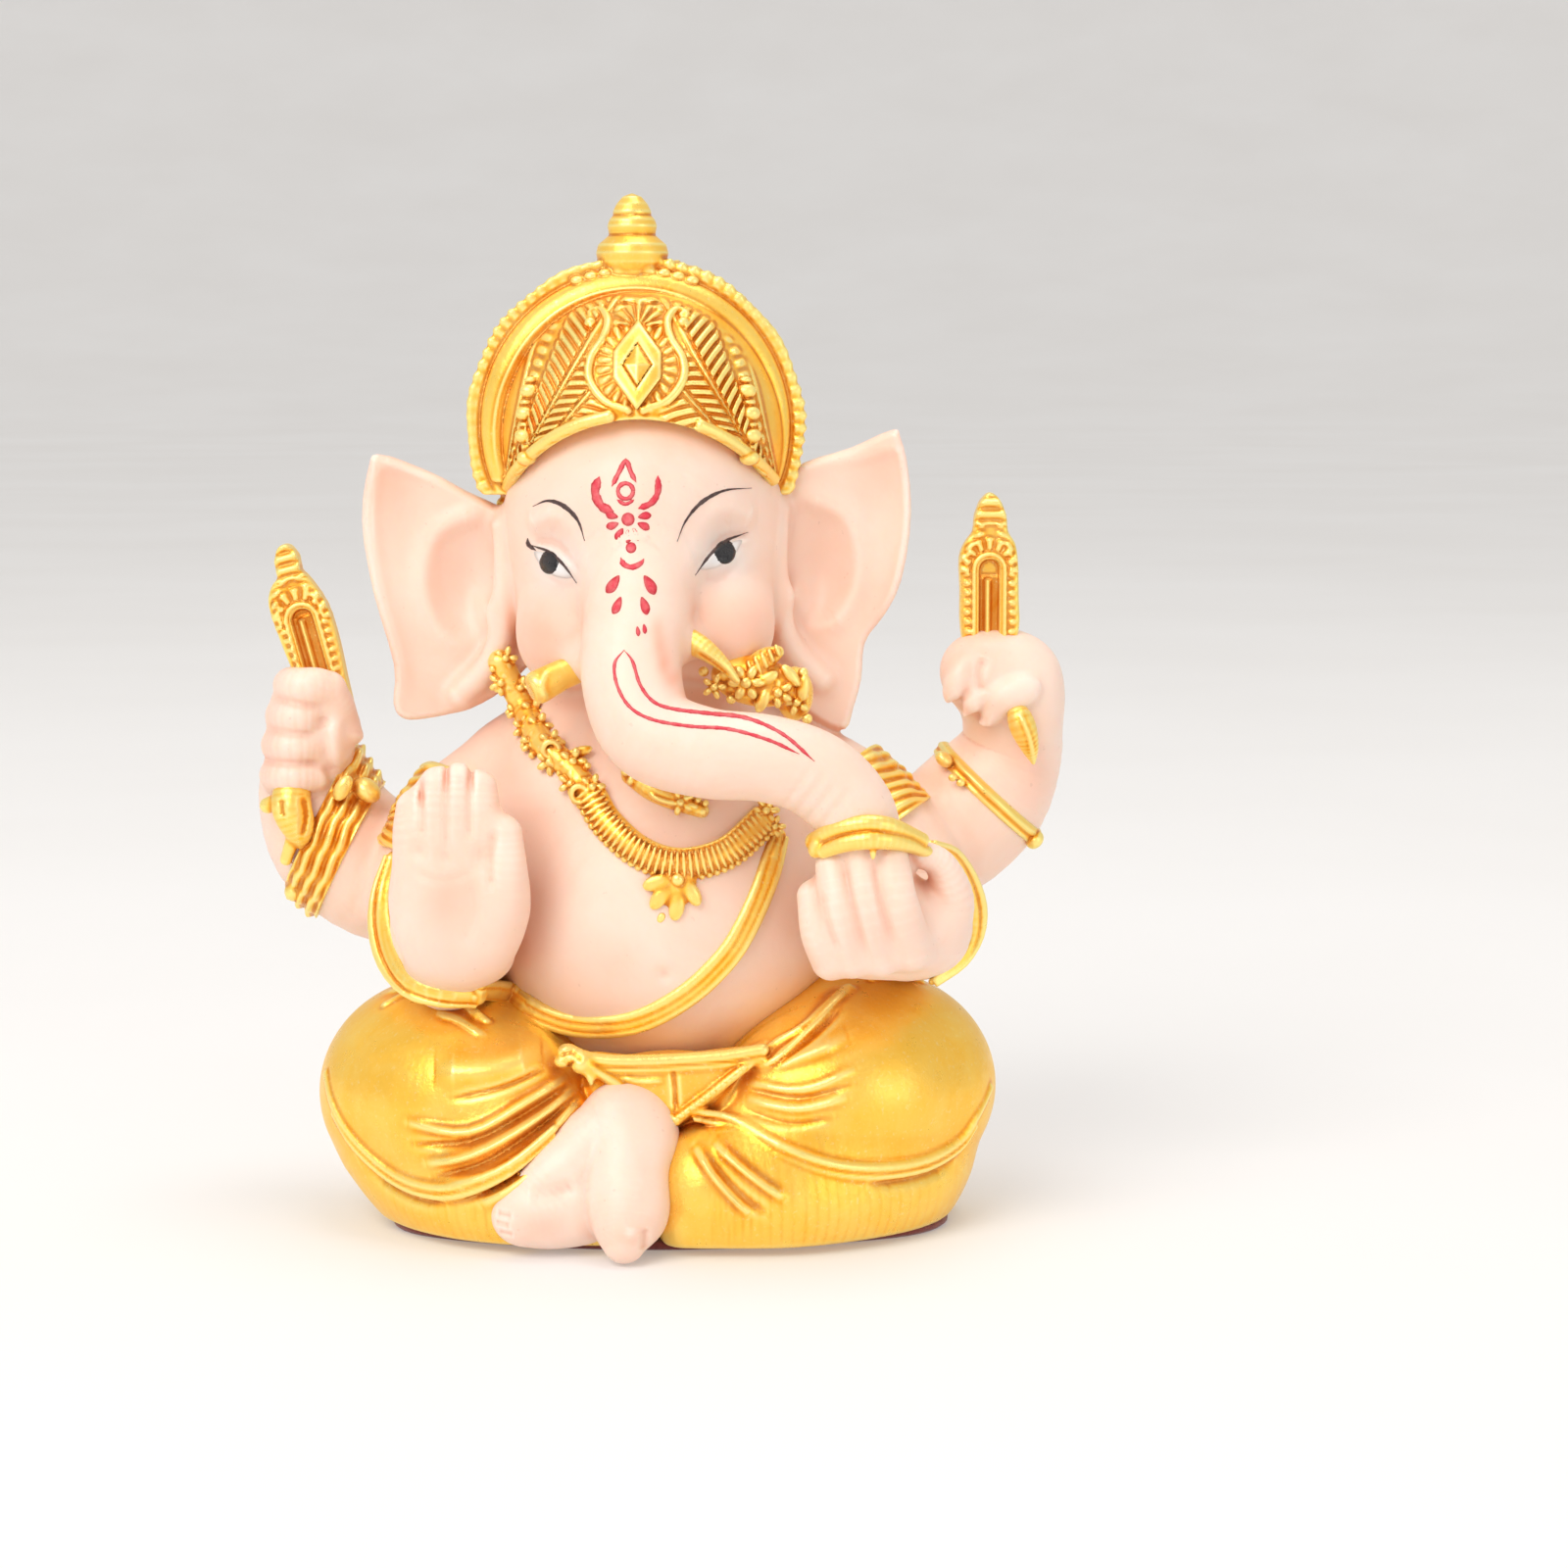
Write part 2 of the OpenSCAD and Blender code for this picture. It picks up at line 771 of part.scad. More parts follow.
module pendant() color(gold) difference() {
    hull() {
        ball([4.4, -16.8, 35.4], 1.1);
        ball([3.3, -17, 33], 1.6);
        ball([2.4, -16.9, 31], 0.7);
    }
    torso_form();
    garland_form();
}

module sized() scale(figure_h / 100) children();

sized() base_pad();
sized() dhoti_seat();
sized() dhoti_right_leg();
sized() dhoti_left_leg();
sized() dhoti_hem_right();
sized() dhoti_hem_left();
sized() front_pleat();
sized() waist_belt();
sized() belt_knot();
sized() right_foot();
sized() left_foot();
sized() torso();
sized() sacred_cord();
sized() shawl_right();
sized() shawl_left();
sized() head();
sized() trunk();
sized() ear_right();
sized() ear_left();
sized() tusk_right();
sized() tusk_left();
sized() crown_cap();
sized() crown_ridge();
sized() crown_panel();
sized() crown_band();
sized() crown_rim();
sized() crown_scroll_right();
sized() crown_scroll_left();
sized() crown_beads_right();
sized() crown_beads_left();
sized() crown_jewel_frame();
sized() crown_jewel();
sized() crown_finial();
sized() upper_arm_front_right();
sized() hand_front_right();
sized() upper_arm_front_left();
sized() hand_front_left();
sized() modak();
sized() trunk_bowl();
sized() arm_rear_right();
sized() hand_rear_right();
sized() arm_rear_left();
sized() hand_rear_left();
sized() axe_right();
sized() goad_left();
sized() armlet_front_right();
sized() armlet_front_left();
sized() armlet_rear_right();
sized() armlet_rear_left();
sized() garland();
sized() garland_shoulder();
sized() choker();
sized() pendant();
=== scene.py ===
import json
import math
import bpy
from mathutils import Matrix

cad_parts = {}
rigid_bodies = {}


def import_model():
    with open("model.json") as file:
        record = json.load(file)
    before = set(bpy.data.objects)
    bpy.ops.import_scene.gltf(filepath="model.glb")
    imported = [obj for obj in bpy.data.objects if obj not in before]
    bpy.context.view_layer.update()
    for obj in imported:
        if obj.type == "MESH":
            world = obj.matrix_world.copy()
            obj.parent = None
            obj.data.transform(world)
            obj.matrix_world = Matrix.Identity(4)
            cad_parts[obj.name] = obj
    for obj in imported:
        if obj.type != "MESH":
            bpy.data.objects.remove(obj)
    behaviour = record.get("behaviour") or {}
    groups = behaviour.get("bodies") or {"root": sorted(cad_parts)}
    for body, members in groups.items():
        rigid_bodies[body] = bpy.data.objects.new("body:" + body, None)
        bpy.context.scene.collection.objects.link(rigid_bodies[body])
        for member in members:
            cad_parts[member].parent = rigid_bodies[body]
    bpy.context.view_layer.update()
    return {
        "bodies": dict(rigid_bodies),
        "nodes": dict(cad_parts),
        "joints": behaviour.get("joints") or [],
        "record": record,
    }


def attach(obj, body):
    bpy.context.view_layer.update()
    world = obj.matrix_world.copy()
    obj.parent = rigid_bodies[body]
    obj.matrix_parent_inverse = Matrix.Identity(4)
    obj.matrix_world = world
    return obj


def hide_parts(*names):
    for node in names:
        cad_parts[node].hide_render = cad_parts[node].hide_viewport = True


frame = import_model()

from concurrent.futures import ThreadPoolExecutor

import bpy
import numpy as np
from mathutils import Vector

# Shapes are worked out in millimetres as signed distances, then meshed in metres.
MM = 0.001
FAR = 60.0  # a distance that stands for nothing near
THREADS = 4
SHEET_FRONT, SHEET_BACK = -14, 12  # how far forward and back a sheet may lie
SWELL_REACH = 2.5  # a swelling works on points this near the surface
HALF_DIAGONAL = 0.87  # of a block, in steps
BLOCK_MARGIN = 1.2
BLOCKS_AT_ONCE = 400
POINTS_AT_ONCE = 20000
FLAT_EDGE = 0.5
FOLD_DEPTH = 3.5  # how far before and behind its line a fold at the front still works
HIDDEN_DEPTH = 0.06  # how far the back of a painted line lies in the skin
BLOCK = 8
PAD_TOP = 0.8
SKIN_CELL = 0.26
CLOTH_CELL = 0.26
CROWN_CELL = 0.17
TRIM_CELL = 0.17


# ---- signed distances ----
def arr(p):
    return np.asarray(p, np.float32)


def smin(a, b, k):
    """The smaller of two distances, rounded over k where they meet."""
    if k <= 0:
        return np.minimum(a, b)
    h = np.maximum(k - np.abs(a - b), 0) / k
    return np.minimum(a, b) - h * h * (k * 0.25)


def smax(a, b, k):
    return -smin(-a, -b, k)


def turn(angles):
    """Rotation matrix from X, Y, Z angles in degrees, applied in that order."""
    x, y, z = np.radians(angles)
    cx, sx, cy, sy, cz, sz = np.cos(x), np.sin(x), np.cos(y), np.sin(y), np.cos(z), np.sin(z)
    rx = np.array([[1, 0, 0], [0, cx, -sx], [0, sx, cx]])
    ry = np.array([[cy, 0, sy], [0, 1, 0], [-sy, 0, cy]])
    rz = np.array([[cz, -sz, 0], [sz, cz, 0], [0, 0, 1]])
    return (rz @ ry @ rx).astype(np.float32)


class Shape:
    """A distance function with the box that holds its surface."""

    def __init__(self, fn, lo, hi):
        self.fn, self.lo, self.hi = fn, arr(lo), arr(hi)


def ellipsoid(c, r, angles=(0, 0, 0)):
    c, r, m = arr(c), arr(r), turn(angles)

    def fn(p):
        q = (p - c) @ m
        k0 = np.sqrt(np.sum((q / r) ** 2, -1))
        k1 = np.sqrt(np.sum((q / (r * r)) ** 2, -1))
        return k0 * (k0 - 1) / np.maximum(k1, 1e-6)

    half = np.sqrt(((m * r) ** 2).sum(1))
    return Shape(fn, c - half, c + half)


def spline(points, per=6, closed=False):
    """Catmull-Rom curve through the points, any number of columns."""
    p = np.asarray(points, float)
    n = len(p)
    if n < 3 and not closed:
        t = np.linspace(0, 1, per + 1)[:, None]
        return p[0] * (1 - t) + p[-1] * t
    out = []
    for i in range(n if closed else n - 1):
        if closed:
            a, b, c, d = p[i - 1], p[i], p[(i + 1) % n], p[(i + 2) % n]
        else:
            b, c = p[i], p[i + 1]
            a = p[i - 1] if i else 2 * b - c
            d = p[i + 2] if i + 2 < n else 2 * c - b
        for t in np.arange(per) / per:
            bend = (2 * a - 5 * b + 4 * c - d) * t * t
            twist = (3 * b - a - 3 * c + d) * t**3
            out.append(0.5 * (2 * b + (c - a) * t + bend + twist))
    if not closed:
        out.append(p[-1])
    return np.array(out)


def curve_distance(p, line):
    """Distance to a polyline less its own radius, and where along it, from 0 to 1."""
    line = line.astype(np.float32)
    best = np.full(p.shape[:-1], 1e3, np.float32)
    where = np.zeros(p.shape[:-1], np.float32)
    n = len(line) - 1
    for i in range(n):
        a, b = line[i], line[i + 1]
        ab = b[:3] - a[:3]
        h = np.clip(((p - a[:3]) @ ab) / max(float(ab @ ab), 1e-9), 0, 1)
        d = np.sqrt(np.sum((p - a[:3] - h[..., None] * ab) ** 2, -1)) - (a[3] + h * (b[3] - a[3]))
        new = d < best
        best = np.where(new, d, best)
        where = np.where(new, (i + h) / n, where)
    return best, where


def tube(points, per=5, smooth=True):
    """A limb or cord along [x, y, z, radius] points."""
    line = spline(points, per) if smooth else np.asarray(points, float)
    r = line[:, 3].max()
    return Shape(lambda p: curve_distance(p, line)[0], line[:, :3].min(0) - r, line[:, :3].max(0) + r)


def ring(c, axis, radius, r):
    """A torus of tube radius r."""
    c = arr(c)
    axis = arr(axis) / np.linalg.norm(axis)

    def fn(p):
        q = p - c
        h = q @ axis
        rho = np.sqrt(np.maximum(np.sum(q * q, -1) - h * h, 0))
        return np.sqrt((rho - radius) ** 2 + h**2) - r

    reach = radius + 2 * r
    return Shape(fn, c - reach, c + reach)


def polygon_distance(x, z, outline):
    """Signed distance in the XZ plane to a closed outline."""
    o = outline.astype(np.float32)
    best = np.full(x.shape, 1e6, np.float32)
    inside = np.zeros(x.shape, bool)
    for i in range(len(o)):
        ax, az = o[i - 1]
        bx, bz = o[i]
        ex, ez = bx - ax, bz - az
        h = np.clip(((x - ax) * ex + (z - az) * ez) / max(ex * ex + ez * ez, 1e-9), 0, 1)
        best = np.minimum(best, (x - ax - h * ex) ** 2 + (z - az - h * ez) ** 2)
        if az != bz:
            cross = ((az > z) != (bz > z)) & (x < (bx - ax) * (z - az) / (bz - az) + ax)
            inside ^= cross
    best = np.sqrt(best)
    return np.where(inside, -best, best)


def sheet(outline, middle, thick, rounding):
    """A curved plate seen from the front: its outline in XZ, its middle surface Y and half thickness."""
    o = np.asarray(outline, float)

    def fn(p):
        x, y, z = p[..., 0], p[..., 1], p[..., 2]
        side = polygon_distance(x, z, o) + rounding
        flat = np.abs(y - middle(x, z)) * 0.85 - thick(x) + rounding
        out = np.sqrt(np.maximum(side, 0) ** 2 + np.maximum(flat, 0) ** 2)
        return np.minimum(np.maximum(side, flat), 0) + out - rounding

    lo = np.array([o[:, 0].min(), SHEET_FRONT, o[:, 1].min()])
    hi = np.array([o[:, 0].max(), SHEET_BACK, o[:, 1].max()])
    return Shape(fn, lo, hi)


FORM_REACH = 4.0  # forms further off than this leave a cluster of points as it is


class Field:
    """Distances at clusters of points, built up form by form. Forms beyond reach of a cluster are skipped."""

    reach = FORM_REACH

    def __init__(self, points, half):
        self.p = points.astype(np.float32)
        self.centre = self.p.reshape(len(self.p), -1, 3).mean(1)
        self.half = half
        self.d = np.full(self.p.shape[:-1], FAR, np.float32)
        self.parts = {}

    def blank(self):
        f = Field.__new__(Field)
        f.p, f.centre, f.half, f.parts = self.p, self.centre, self.half, {}
        f.d = np.full(self.d.shape, FAR, np.float32)
        return f

    def near(self, shape, extra=0.0, k=0.0):
        pad = self.half + max(Field.reach, k + 0.5) + extra
        return np.nonzero(np.all((self.centre > shape.lo - pad) & (self.centre < shape.hi + pad), -1))[0]

    def add(self, shape, k=0.0):
        i = self.near(shape, k=k)
        if len(i):
            self.d[i] = smin(self.d[i], shape.fn(self.p[i]), k)

    def swell(self, shape_lo, shape_hi, fn):
        """Raises or sinks the surface: fn gives millimetres of growth at points inside a box."""
        box = Shape(None, shape_lo, shape_hi)
        i = self.near(box, extra=0.5 - Field.reach)
        if len(i):
            near = np.abs(self.d[i]).reshape(len(i), -1).min(1) < SWELL_REACH
            i = i[near]
            if len(i):
                self.d[i] -= fn(self.p[i])

    def join(self, name, other, k):
        self.parts[name] = other.d
        self.d = smin(self.d, other.d, k)

    def join_all(self, parts, flat_z=None):
        """Joins named forms in turn, each with its blend, and cut flat below a height if one is given."""
        for name, form, k in parts:
            part = self.blank()
            form(part)
            if flat_z is not None:
                part.d = smax(part.d, flat_z - part.p[..., 2], FLAT_EDGE)
            self.join(name, part, k)

    def blob(self, c, r, k=0.0, angles=(0, 0, 0)):
        self.add(ellipsoid(c, r, angles), k)

    def cord(self, points, k=0.0, per=5):
        self.add(tube(points, per), k)

    def fold(self, points, width, height, front=True):
        """A raised fold along [x, y, z] points on the surface; a height below 0 is a groove.

        A fold at the front follows its line as seen from the front, so it needn't lie exactly on the surface.
        """
        line = spline(points, 4)
        line = np.c_[line[:, :3], np.zeros(len(line))]
        y_lo, y_hi = line[:, 1].min() - FOLD_DEPTH, line[:, 1].max() + FOLD_DEPTH
        if front:
            line[:, 1] = 0

        def fn(p):
            gate = 1.0
            q = p
            if front:
                q = p * arr((1, 0, 1))
                gate = np.clip((p[..., 1] - y_lo) / 1.5, 0, 1) * np.clip((y_hi - p[..., 1]) / 1.5, 0, 1)
            dist, t = curve_distance(q, line)
            ends = np.clip(np.minimum(t, 1 - t) * 5 + 0.12, 0, 1)
            return height * gate * ends * np.exp(-((dist / width) ** 2))

        lo, hi = line[:, :3].min(0) - 3 * width, line[:, :3].max(0) + 3 * width
        lo[1], hi[1] = y_lo, y_hi
        self.swell(lo, hi, fn)

    def lobe(self, c, r, height):
        """A soft bump of half widths r on the surface; a height below 0 is a dent."""
        c, r = arr(c), arr(r)
        self.swell(c - 2.5 * r, c + 2.5 * r, lambda p: height * np.exp(-np.sum(((p - c) / r) ** 2, -1)))


# ---- from distances to meshes ----
CORNERS = np.array([[i, j, k] for i in (0, 1) for j in (0, 1) for k in (0, 1)])
EDGES = [(a, b) for a in range(8) for b in range(a + 1, 8) if np.abs(CORNERS[a] - CORNERS[b]).sum() == 1]


def in_parallel(job, items):
    """Runs independent jobs on a few threads; results come back in order."""
    with ThreadPoolExecutor(THREADS) as pool:
        return list(pool.map(job, items))


def dense_field(build, lo, hi, cell):
    """Evaluates build(Field) on a grid, skipping blocks far from the surface."""
    lo, hi = np.asarray(lo, float), np.asarray(hi, float)
    step = BLOCK * cell
    n = np.ceil((hi - lo) / step).astype(int)
    ids = np.stack(np.meshgrid(*[np.arange(k) for k in n], indexing="ij"), -1).reshape(-1, 3)
    centres = lo + (ids + 0.5) * step
    reach = step * HALF_DIAGONAL + BLOCK_MARGIN
    coarse = Field(centres[:, None, :], max(reach - Field.reach, 0.0))
    build(coarse)
    d = coarse.d[:, 0]
    grid = np.full(tuple(n * BLOCK + 1), 1.0, np.float32)
    for b in ids[d < -reach]:
        x, y, z = b * BLOCK
        grid[x : x + BLOCK + 1, y : y + BLOCK + 1, z : z + BLOCK + 1] = -1.0
    keep = ids[np.abs(d) <= reach]
    local = np.stack(np.meshgrid(*[np.arange(BLOCK + 1)] * 3, indexing="ij"), -1) * cell

    def fill(s):
        some = keep[s : s + BLOCKS_AT_ONCE]
        points = lo + some[:, None, None, None, :] * step + local
        f = Field(points, step * 0.5)
        build(f)
        for b, v in zip(some * BLOCK, f.d):
            x, y, z = b
            grid[x : x + BLOCK + 1, y : y + BLOCK + 1, z : z + BLOCK + 1] = v

    in_parallel(fill, range(0, len(keep), BLOCKS_AT_ONCE))
    return grid


def surface_nets(grid, lo, cell):
    inside = grid < 0
    count = np.zeros(tuple(s - 1 for s in grid.shape), np.uint8)
    for c in CORNERS:
        count += inside[
            c[0] : c[0] + count.shape[0], c[1] : c[1] + count.shape[1], c[2] : c[2] + count.shape[2],
        ]
    active = (count > 0) & (count < 8)
    cells = np.argwhere(active)
    ids = np.full(active.shape, -1, np.int32)
    ids[active] = np.arange(len(cells))
    corner = [grid[cells[:, 0] + c[0], cells[:, 1] + c[1], cells[:, 2] + c[2]] for c in CORNERS]
    total = np.zeros((len(cells), 3))
    hits = np.zeros(len(cells))
    for a, b in EDGES:
        crossed = (corner[a] < 0) != (corner[b] < 0)
        t = corner[a] / np.where(crossed, corner[a] - corner[b], 1)
        total += np.where(crossed[:, None], CORNERS[a] + t[:, None] * (CORNERS[b] - CORNERS[a]), 0)
        hits += crossed
    verts = (cells + total / hits[:, None]) * cell + lo
    quads = []
    for axis in range(3):
        u, v = (axis + 1) % 3, (axis + 2) % 3
        first = [slice(1, -1)] * 3
        second = [slice(1, -1)] * 3
        first[axis], second[axis] = slice(0, -1), slice(1, None)
        a, b = inside[tuple(first)], inside[tuple(second)]
        at = np.argwhere(a != b)
        flip = b[tuple(at.T)]
        at = at + 1
        at[:, axis] -= 1
        around = []
        for du, dv in ((1, 1), (0, 1), (0, 0), (1, 0)):
            q = at.copy()
            q[:, u] -= du
            q[:, v] -= dv
            around.append(ids[tuple(q.T)])
        q = np.stack(around, 1)
        q[flip] = q[flip][:, ::-1]
        quads.append(q)
    return verts, np.concatenate(quads)


BEND_REACH = 0.3
OPEN_REACH = (0.7, 1.8, 4.0)
TETRA = np.array([[1, 1, 1], [1, -1, -1], [-1, 1, -1], [-1, -1, 1]], np.float32) / math.sqrt(3)


def neighbour_mean(verts, faces):
    """The mean of each point's neighbours along the edges of the quads."""
    a = faces.ravel()
    b = np.roll(faces, -1, 1).ravel()
    one, two = np.r_[a, b], np.r_[b, a]
    count = np.maximum(np.bincount(one, minlength=len(verts)), 1)
    return np.stack([np.bincount(one, verts[two, i], len(verts)) / count for i in range(3)], 1)


def relax(verts, faces, rounds=2):
    """Evens out the spacing of the points, so that no quad is left tiny or turned over."""
    for _ in range(rounds):
        verts = 0.4 * verts + 0.6 * neighbour_mean(verts, faces)
    return verts


def unfold(verts, normal, faces, rounds=3):
    """Moves the points of any quad that still faces away from the surface's normal."""
    for _ in range(rounds):
        p = verts[faces]
        facing = np.sum(np.cross(p[:, 2] - p[:, 0], p[:, 3] - p[:, 1]) * normal[faces].mean(1), 1)
        bad = np.unique(faces[facing <= 0])
        if not len(bad):
            break
        verts = verts.copy()
        verts[bad] = neighbour_mean(verts, faces)[bad]
    return verts


def settle(build, verts, cell):
    """Moves points onto the surface. Gives them, their normals, curvature, openness and part distances."""
    starts = range(0, len(verts), POINTS_AT_ONCE)
    done = in_parallel(lambda s: settle_some(build, verts[s : s + POINTS_AT_ONCE], cell), starts)
    *plain, parts = zip(*done)
    parts = {k: np.concatenate([p[k] for p in parts]) for k in parts[0]}
    return (*[np.concatenate(p) for p in plain], parts)


def settle_some(build, verts, cell, rounds=2):
    eps = max(0.12, 0.5 * cell)
    for _ in range(rounds):
        f = Field(verts[:, None, :] + np.concatenate([TETRA * eps, np.zeros((1, 3))]), eps)
        build(f)
        grad = (f.d[:, :4, None] * TETRA).sum(1) * (0.75 / eps)
        size = np.maximum((grad**2).sum(1), 0.15)
        move = np.clip(f.d[:, 4] / size, -cell, cell)
        verts = verts - move[:, None] * grad
    f = Field(
        verts[:, None, :] + np.concatenate([TETRA * eps, TETRA * BEND_REACH, np.zeros((1, 3))]),
        BEND_REACH,
    )
    build(f)
    grad = (f.d[:, :4, None] * TETRA).sum(1)
    normal = grad / np.maximum(np.linalg.norm(grad, axis=1, keepdims=True), 1e-6)
    bend = (f.d[:, 4:8].mean(1) - f.d[:, 8]) * (3 / BEND_REACH**2)
    parts = {k: v[:, 8] for k, v in f.parts.items()}
    reach = np.array(OPEN_REACH)
    f = Field(verts[:, None, :] + normal[:, None, :] * reach[None, :, None], reach.max())
    build(f)
    openness = np.clip(f.d / reach, 0, 1).mean(1)
    return verts, normal, bend, openness, parts


# ---- skin: body, head, limbs ----
def torso(f):
    f.blob((2, 0, 31), (18, 16.5, 18))
    f.blob((0, 1.5, 42.6), (15, 11, 8.4), 6)
    f.blob((0, 5, 40), (14.5, 9, 13), 5)
    for x in (-7, 8):
        f.blob((x, -5, 42.2), (7, 6, 6), 4)
        f.blob((1.4 * x, 6.5, 42), (5, 6, 7), 4)
    f.blob((0, 1, 50), (10, 9, 7), 5)
    # the navel and the line of the spine
    f.lobe((2.7, -15.4, 26.0), (0.9, 3, 0.8), -0.3)
    f.fold([(0, 16, 46), (0.6, 17, 38), (1, 17.5, 30), (1, 17, 23)], 1.6, -0.9, front=False)


def head(f):
    f.blob((0.3, 0.5, 69), (13.6, 12.5, 13.5))
    f.blob((0.5, -2, 61), (11.6, 10.4, 9.5), 5)
    f.blob((0.4, -6.5, 70), (8.6, 7.8, 8.4), 5)
    for side, lift in ((-1, 0), (1, 0.6)):
        # cheek, then the eye's socket, ball, lids and the soft bag under it
        f.blob((0.7 + side * 7.7, -7.6, 58.0 + lift), (4.7, 5.8, 5.4), 2.6)
        f.lobe((0.4 + side * 8.2, -11.6, 66.0 + lift), (3.8, 5, 3.4), -1.5)
        f.lobe((0.4 + side * 8.3, -11.0, 64.6 + lift), (2.5, 5, 1.5), 1.35)
        f.fold(lid(side, lift, 1.25, 2.8), 0.42, 0.24)
        f.fold(lid(side, lift, 2.1, 3.0), 0.5, -0.22)
        f.fold(lid(side, lift, -1.5, 2.4), 0.6, -0.16)
        f.fold(lid(side, lift, 4.6, 3.8), 1.2, 0.5)
        # the fold beside the trunk
        f.fold([
            (0.4 + side * 4.4, -14, 63.5), (0.4 + side * 4.9, -15, 60.5),
            (0.4 + side * 4.7, -16, 57.6),
        ], 0.9, -0.6)
    f.lobe((0.4, -13, 72.5), (3.6, 5, 3.4), 0.4)


def lid(side, lift, rise, half):
    """Three points of an arc over or under an eye."""
    x, z = 0.4 + side * 8, 64.4 + lift
    tilt = 0.55 * half
    return [
        (x - side * half, -12.6, z - tilt + 0.2 * rise),
        (x - 0.1 * side * half, -12.2, z + rise),
        (x + side * half, -10.4, z + tilt + 0.3 * rise),
    ]


def trunk(f):
    f.cord([
        (0.3, -10.5, 66.5, 5.0),
        (0.2, -14.4, 60.5, 4.9),
        (-0.2, -18.2, 54.6, 4.7),
        (1.6, -20.8, 49.8, 4.5),
        (6.6, -21.8, 47.9, 4.2),
        (12.4, -21.4, 47.3, 4.05),
        (17.1, -20.6, 45.6, 4.05),
        (20.4, -19.8, 42.2, 3.9),
        (21.6, -19.0, 38.4, 3.5),
    ], 0, 6)
    # the broken tusk's socket, and the one on the other side
    f.blob((-4.3, -13.6, 55.6), (2.4, 2.6, 2.0), 1.6, (0, 25, 0))
    f.blob((4.0, -14.2, 57.2), (2.0, 2.2, 1.7), 1.6, (0, -25, 0))
    # shallow creases across the back of the bend
    for a in (0.0, 0.33, 0.66, 1.0):
        x = 14.8 + 3.4 * a
        z = 45.4 - 2.2 * a
        f.fold([(x - 1.6, -24.2, z - 3), (x + 0.2, -24.9, z - 0.6), (x + 1.9, -24.3, z + 1.8)], 0.45, -0.1)


EAR_RIGHT = [
    (-9, 69), (-13.4, 69.4), (-16.3, 70.6), (-21.6, 73.2), (-25.6, 74.7), (-26.5, 73.4), (-27.2, 68.3),
    (-26.2, 61.6), (-24.2, 54.2), (-24.3, 50.4), (-23.4, 48.9), (-21.4, 48.8), (-17.9, 49.5), (-14.6, 50.9),
    (-11.5, 53.6), (-8.5, 58),
]
EAR_LEFT = [
    (9, 70), (12.8, 71.6), (16, 73.8), (20.6, 75.3), (24.4, 77.0), (25.4, 76.2), (26.3, 69.3),
    (25.4, 62.6), (23.6, 59), (21.9, 56.2), (21.6, 52.8), (20.8, 49.8), (20, 47.8), (17.4, 48.6),
    (13.5, 52), (9.5, 58),
]


def ear(f, outline, side, dz):
    """A curved shell with a rolled root, a concha and a thick lower rim."""

    def across(x):
        return np.clip((side * x - 11) / 15, 0, 1)

    def middle(x, z):
        t = across(x)
        z = z - dz
        bowl = 2.3 * np.exp(-(((side * x - 17.0) / 3.7) ** 2) - ((z - 62.2) / 5.0) ** 2)
        dish = 0.9 * np.exp(-(((side * x - 23.0) / 3.0) ** 2) - ((z - 66.5) / 6.5) ** 2)
        return 1.0 - 3.0 * t * t + 1.4 * t + 0.05 * (z - 62) * t + bowl + dish

    def thick(x):
        return 1.75 - 0.95 * across(x)

    f.add(sheet(spline(outline, 3, closed=True), middle, thick, 0.7))
    s = side
    # the bowl, its curled rim, the ridge beside the head, and the thick lower edge
    rim = [
        (-14.2, 0, 68.9), (-17.0, 0, 68.6), (-20.0, 0, 66.9), (-21.2, 0, 63.6), (-20.9, 0, 60.2),
        (-19.2, 0, 57.0), (-16.2, 0, 55.6),
    ]
    f.fold([(-s * x, y, z + dz) for x, y, z in rim], 1.2, 0.6)
    ridge = [
        (-13.4, -1.2, 67.6, 0.9), (-13.0, -2.0, 63.0, 1.25), (-13.2, -2.2, 58.6, 1.25),
        (-14.6, -1.6, 54.4, 1.15), (-17.6, -1.2, 51.2, 0.9),
    ]
    f.cord([(-s * x, y, z + dz, r) for x, y, z, r in ridge], 1.8)
    f.lobe((s * 15.2, -1, 59.6 + dz), (1.1, 5, 1.8), 0.7)
    edge = [
        (-15, 0, 71.4), (-21, 0, 72.6), (-25.3, 0, 73.4), (-26.0, 0, 67.6), (-25.0, 0, 61.0),
        (-23.2, 0, 54.4), (-23.2, 0, 50.6),
    ]
    f.fold([(-s * x, y, z + dz) for x, y, z in edge], 0.7, 0.2)


FRONT_RIGHT_LIMB = [
    (-12.6, 1.4, 42.2, 6.2), (-18.2, 0.6, 38, 5.8), (-20.6, -1.0, 32, 5.4), (-21.4, -3.4, 27.6, 5.2),
    (-18.2, -11, 26.2, 4.5),
]
FRONT_LEFT_LIMB = [
    (13.6, 1.4, 42.8, 6.5), (20.2, 0.6, 39.4, 6.3), (25.4, -1.4, 33.4, 5.9), (27.2, -5, 29.6, 5.5),
    (25.6, -11.5, 29.6, 4.9),
]
REAR_RIGHT_LIMB = [
    (-14, 5, 34, 6.2), (-23.8, 6, 31.8, 6.6), (-30.0, 6, 35.2, 7.0), (-32.6, 5.8, 39.8, 6.0),
    (-33.2, 4.6, 44, 4.6),
]
REAR_LEFT_LIMB = [
    (14, 5, 34.4, 6.2), (26.6, 6, 35.0, 6.4), (33.2, 6, 39.4, 6.6), (36.6, 5.8, 44.6, 5.2),
    (36.6, 4.6, 49.6, 4.8),
]


def front_right_arm(f):
    f.cord(FRONT_RIGHT_LIMB)
    f.fold([(-23.6, -9.5, 30.6), (-21.2, -10.6, 30), (-18.4, -9.2, 31)], 0.7, -0.35)


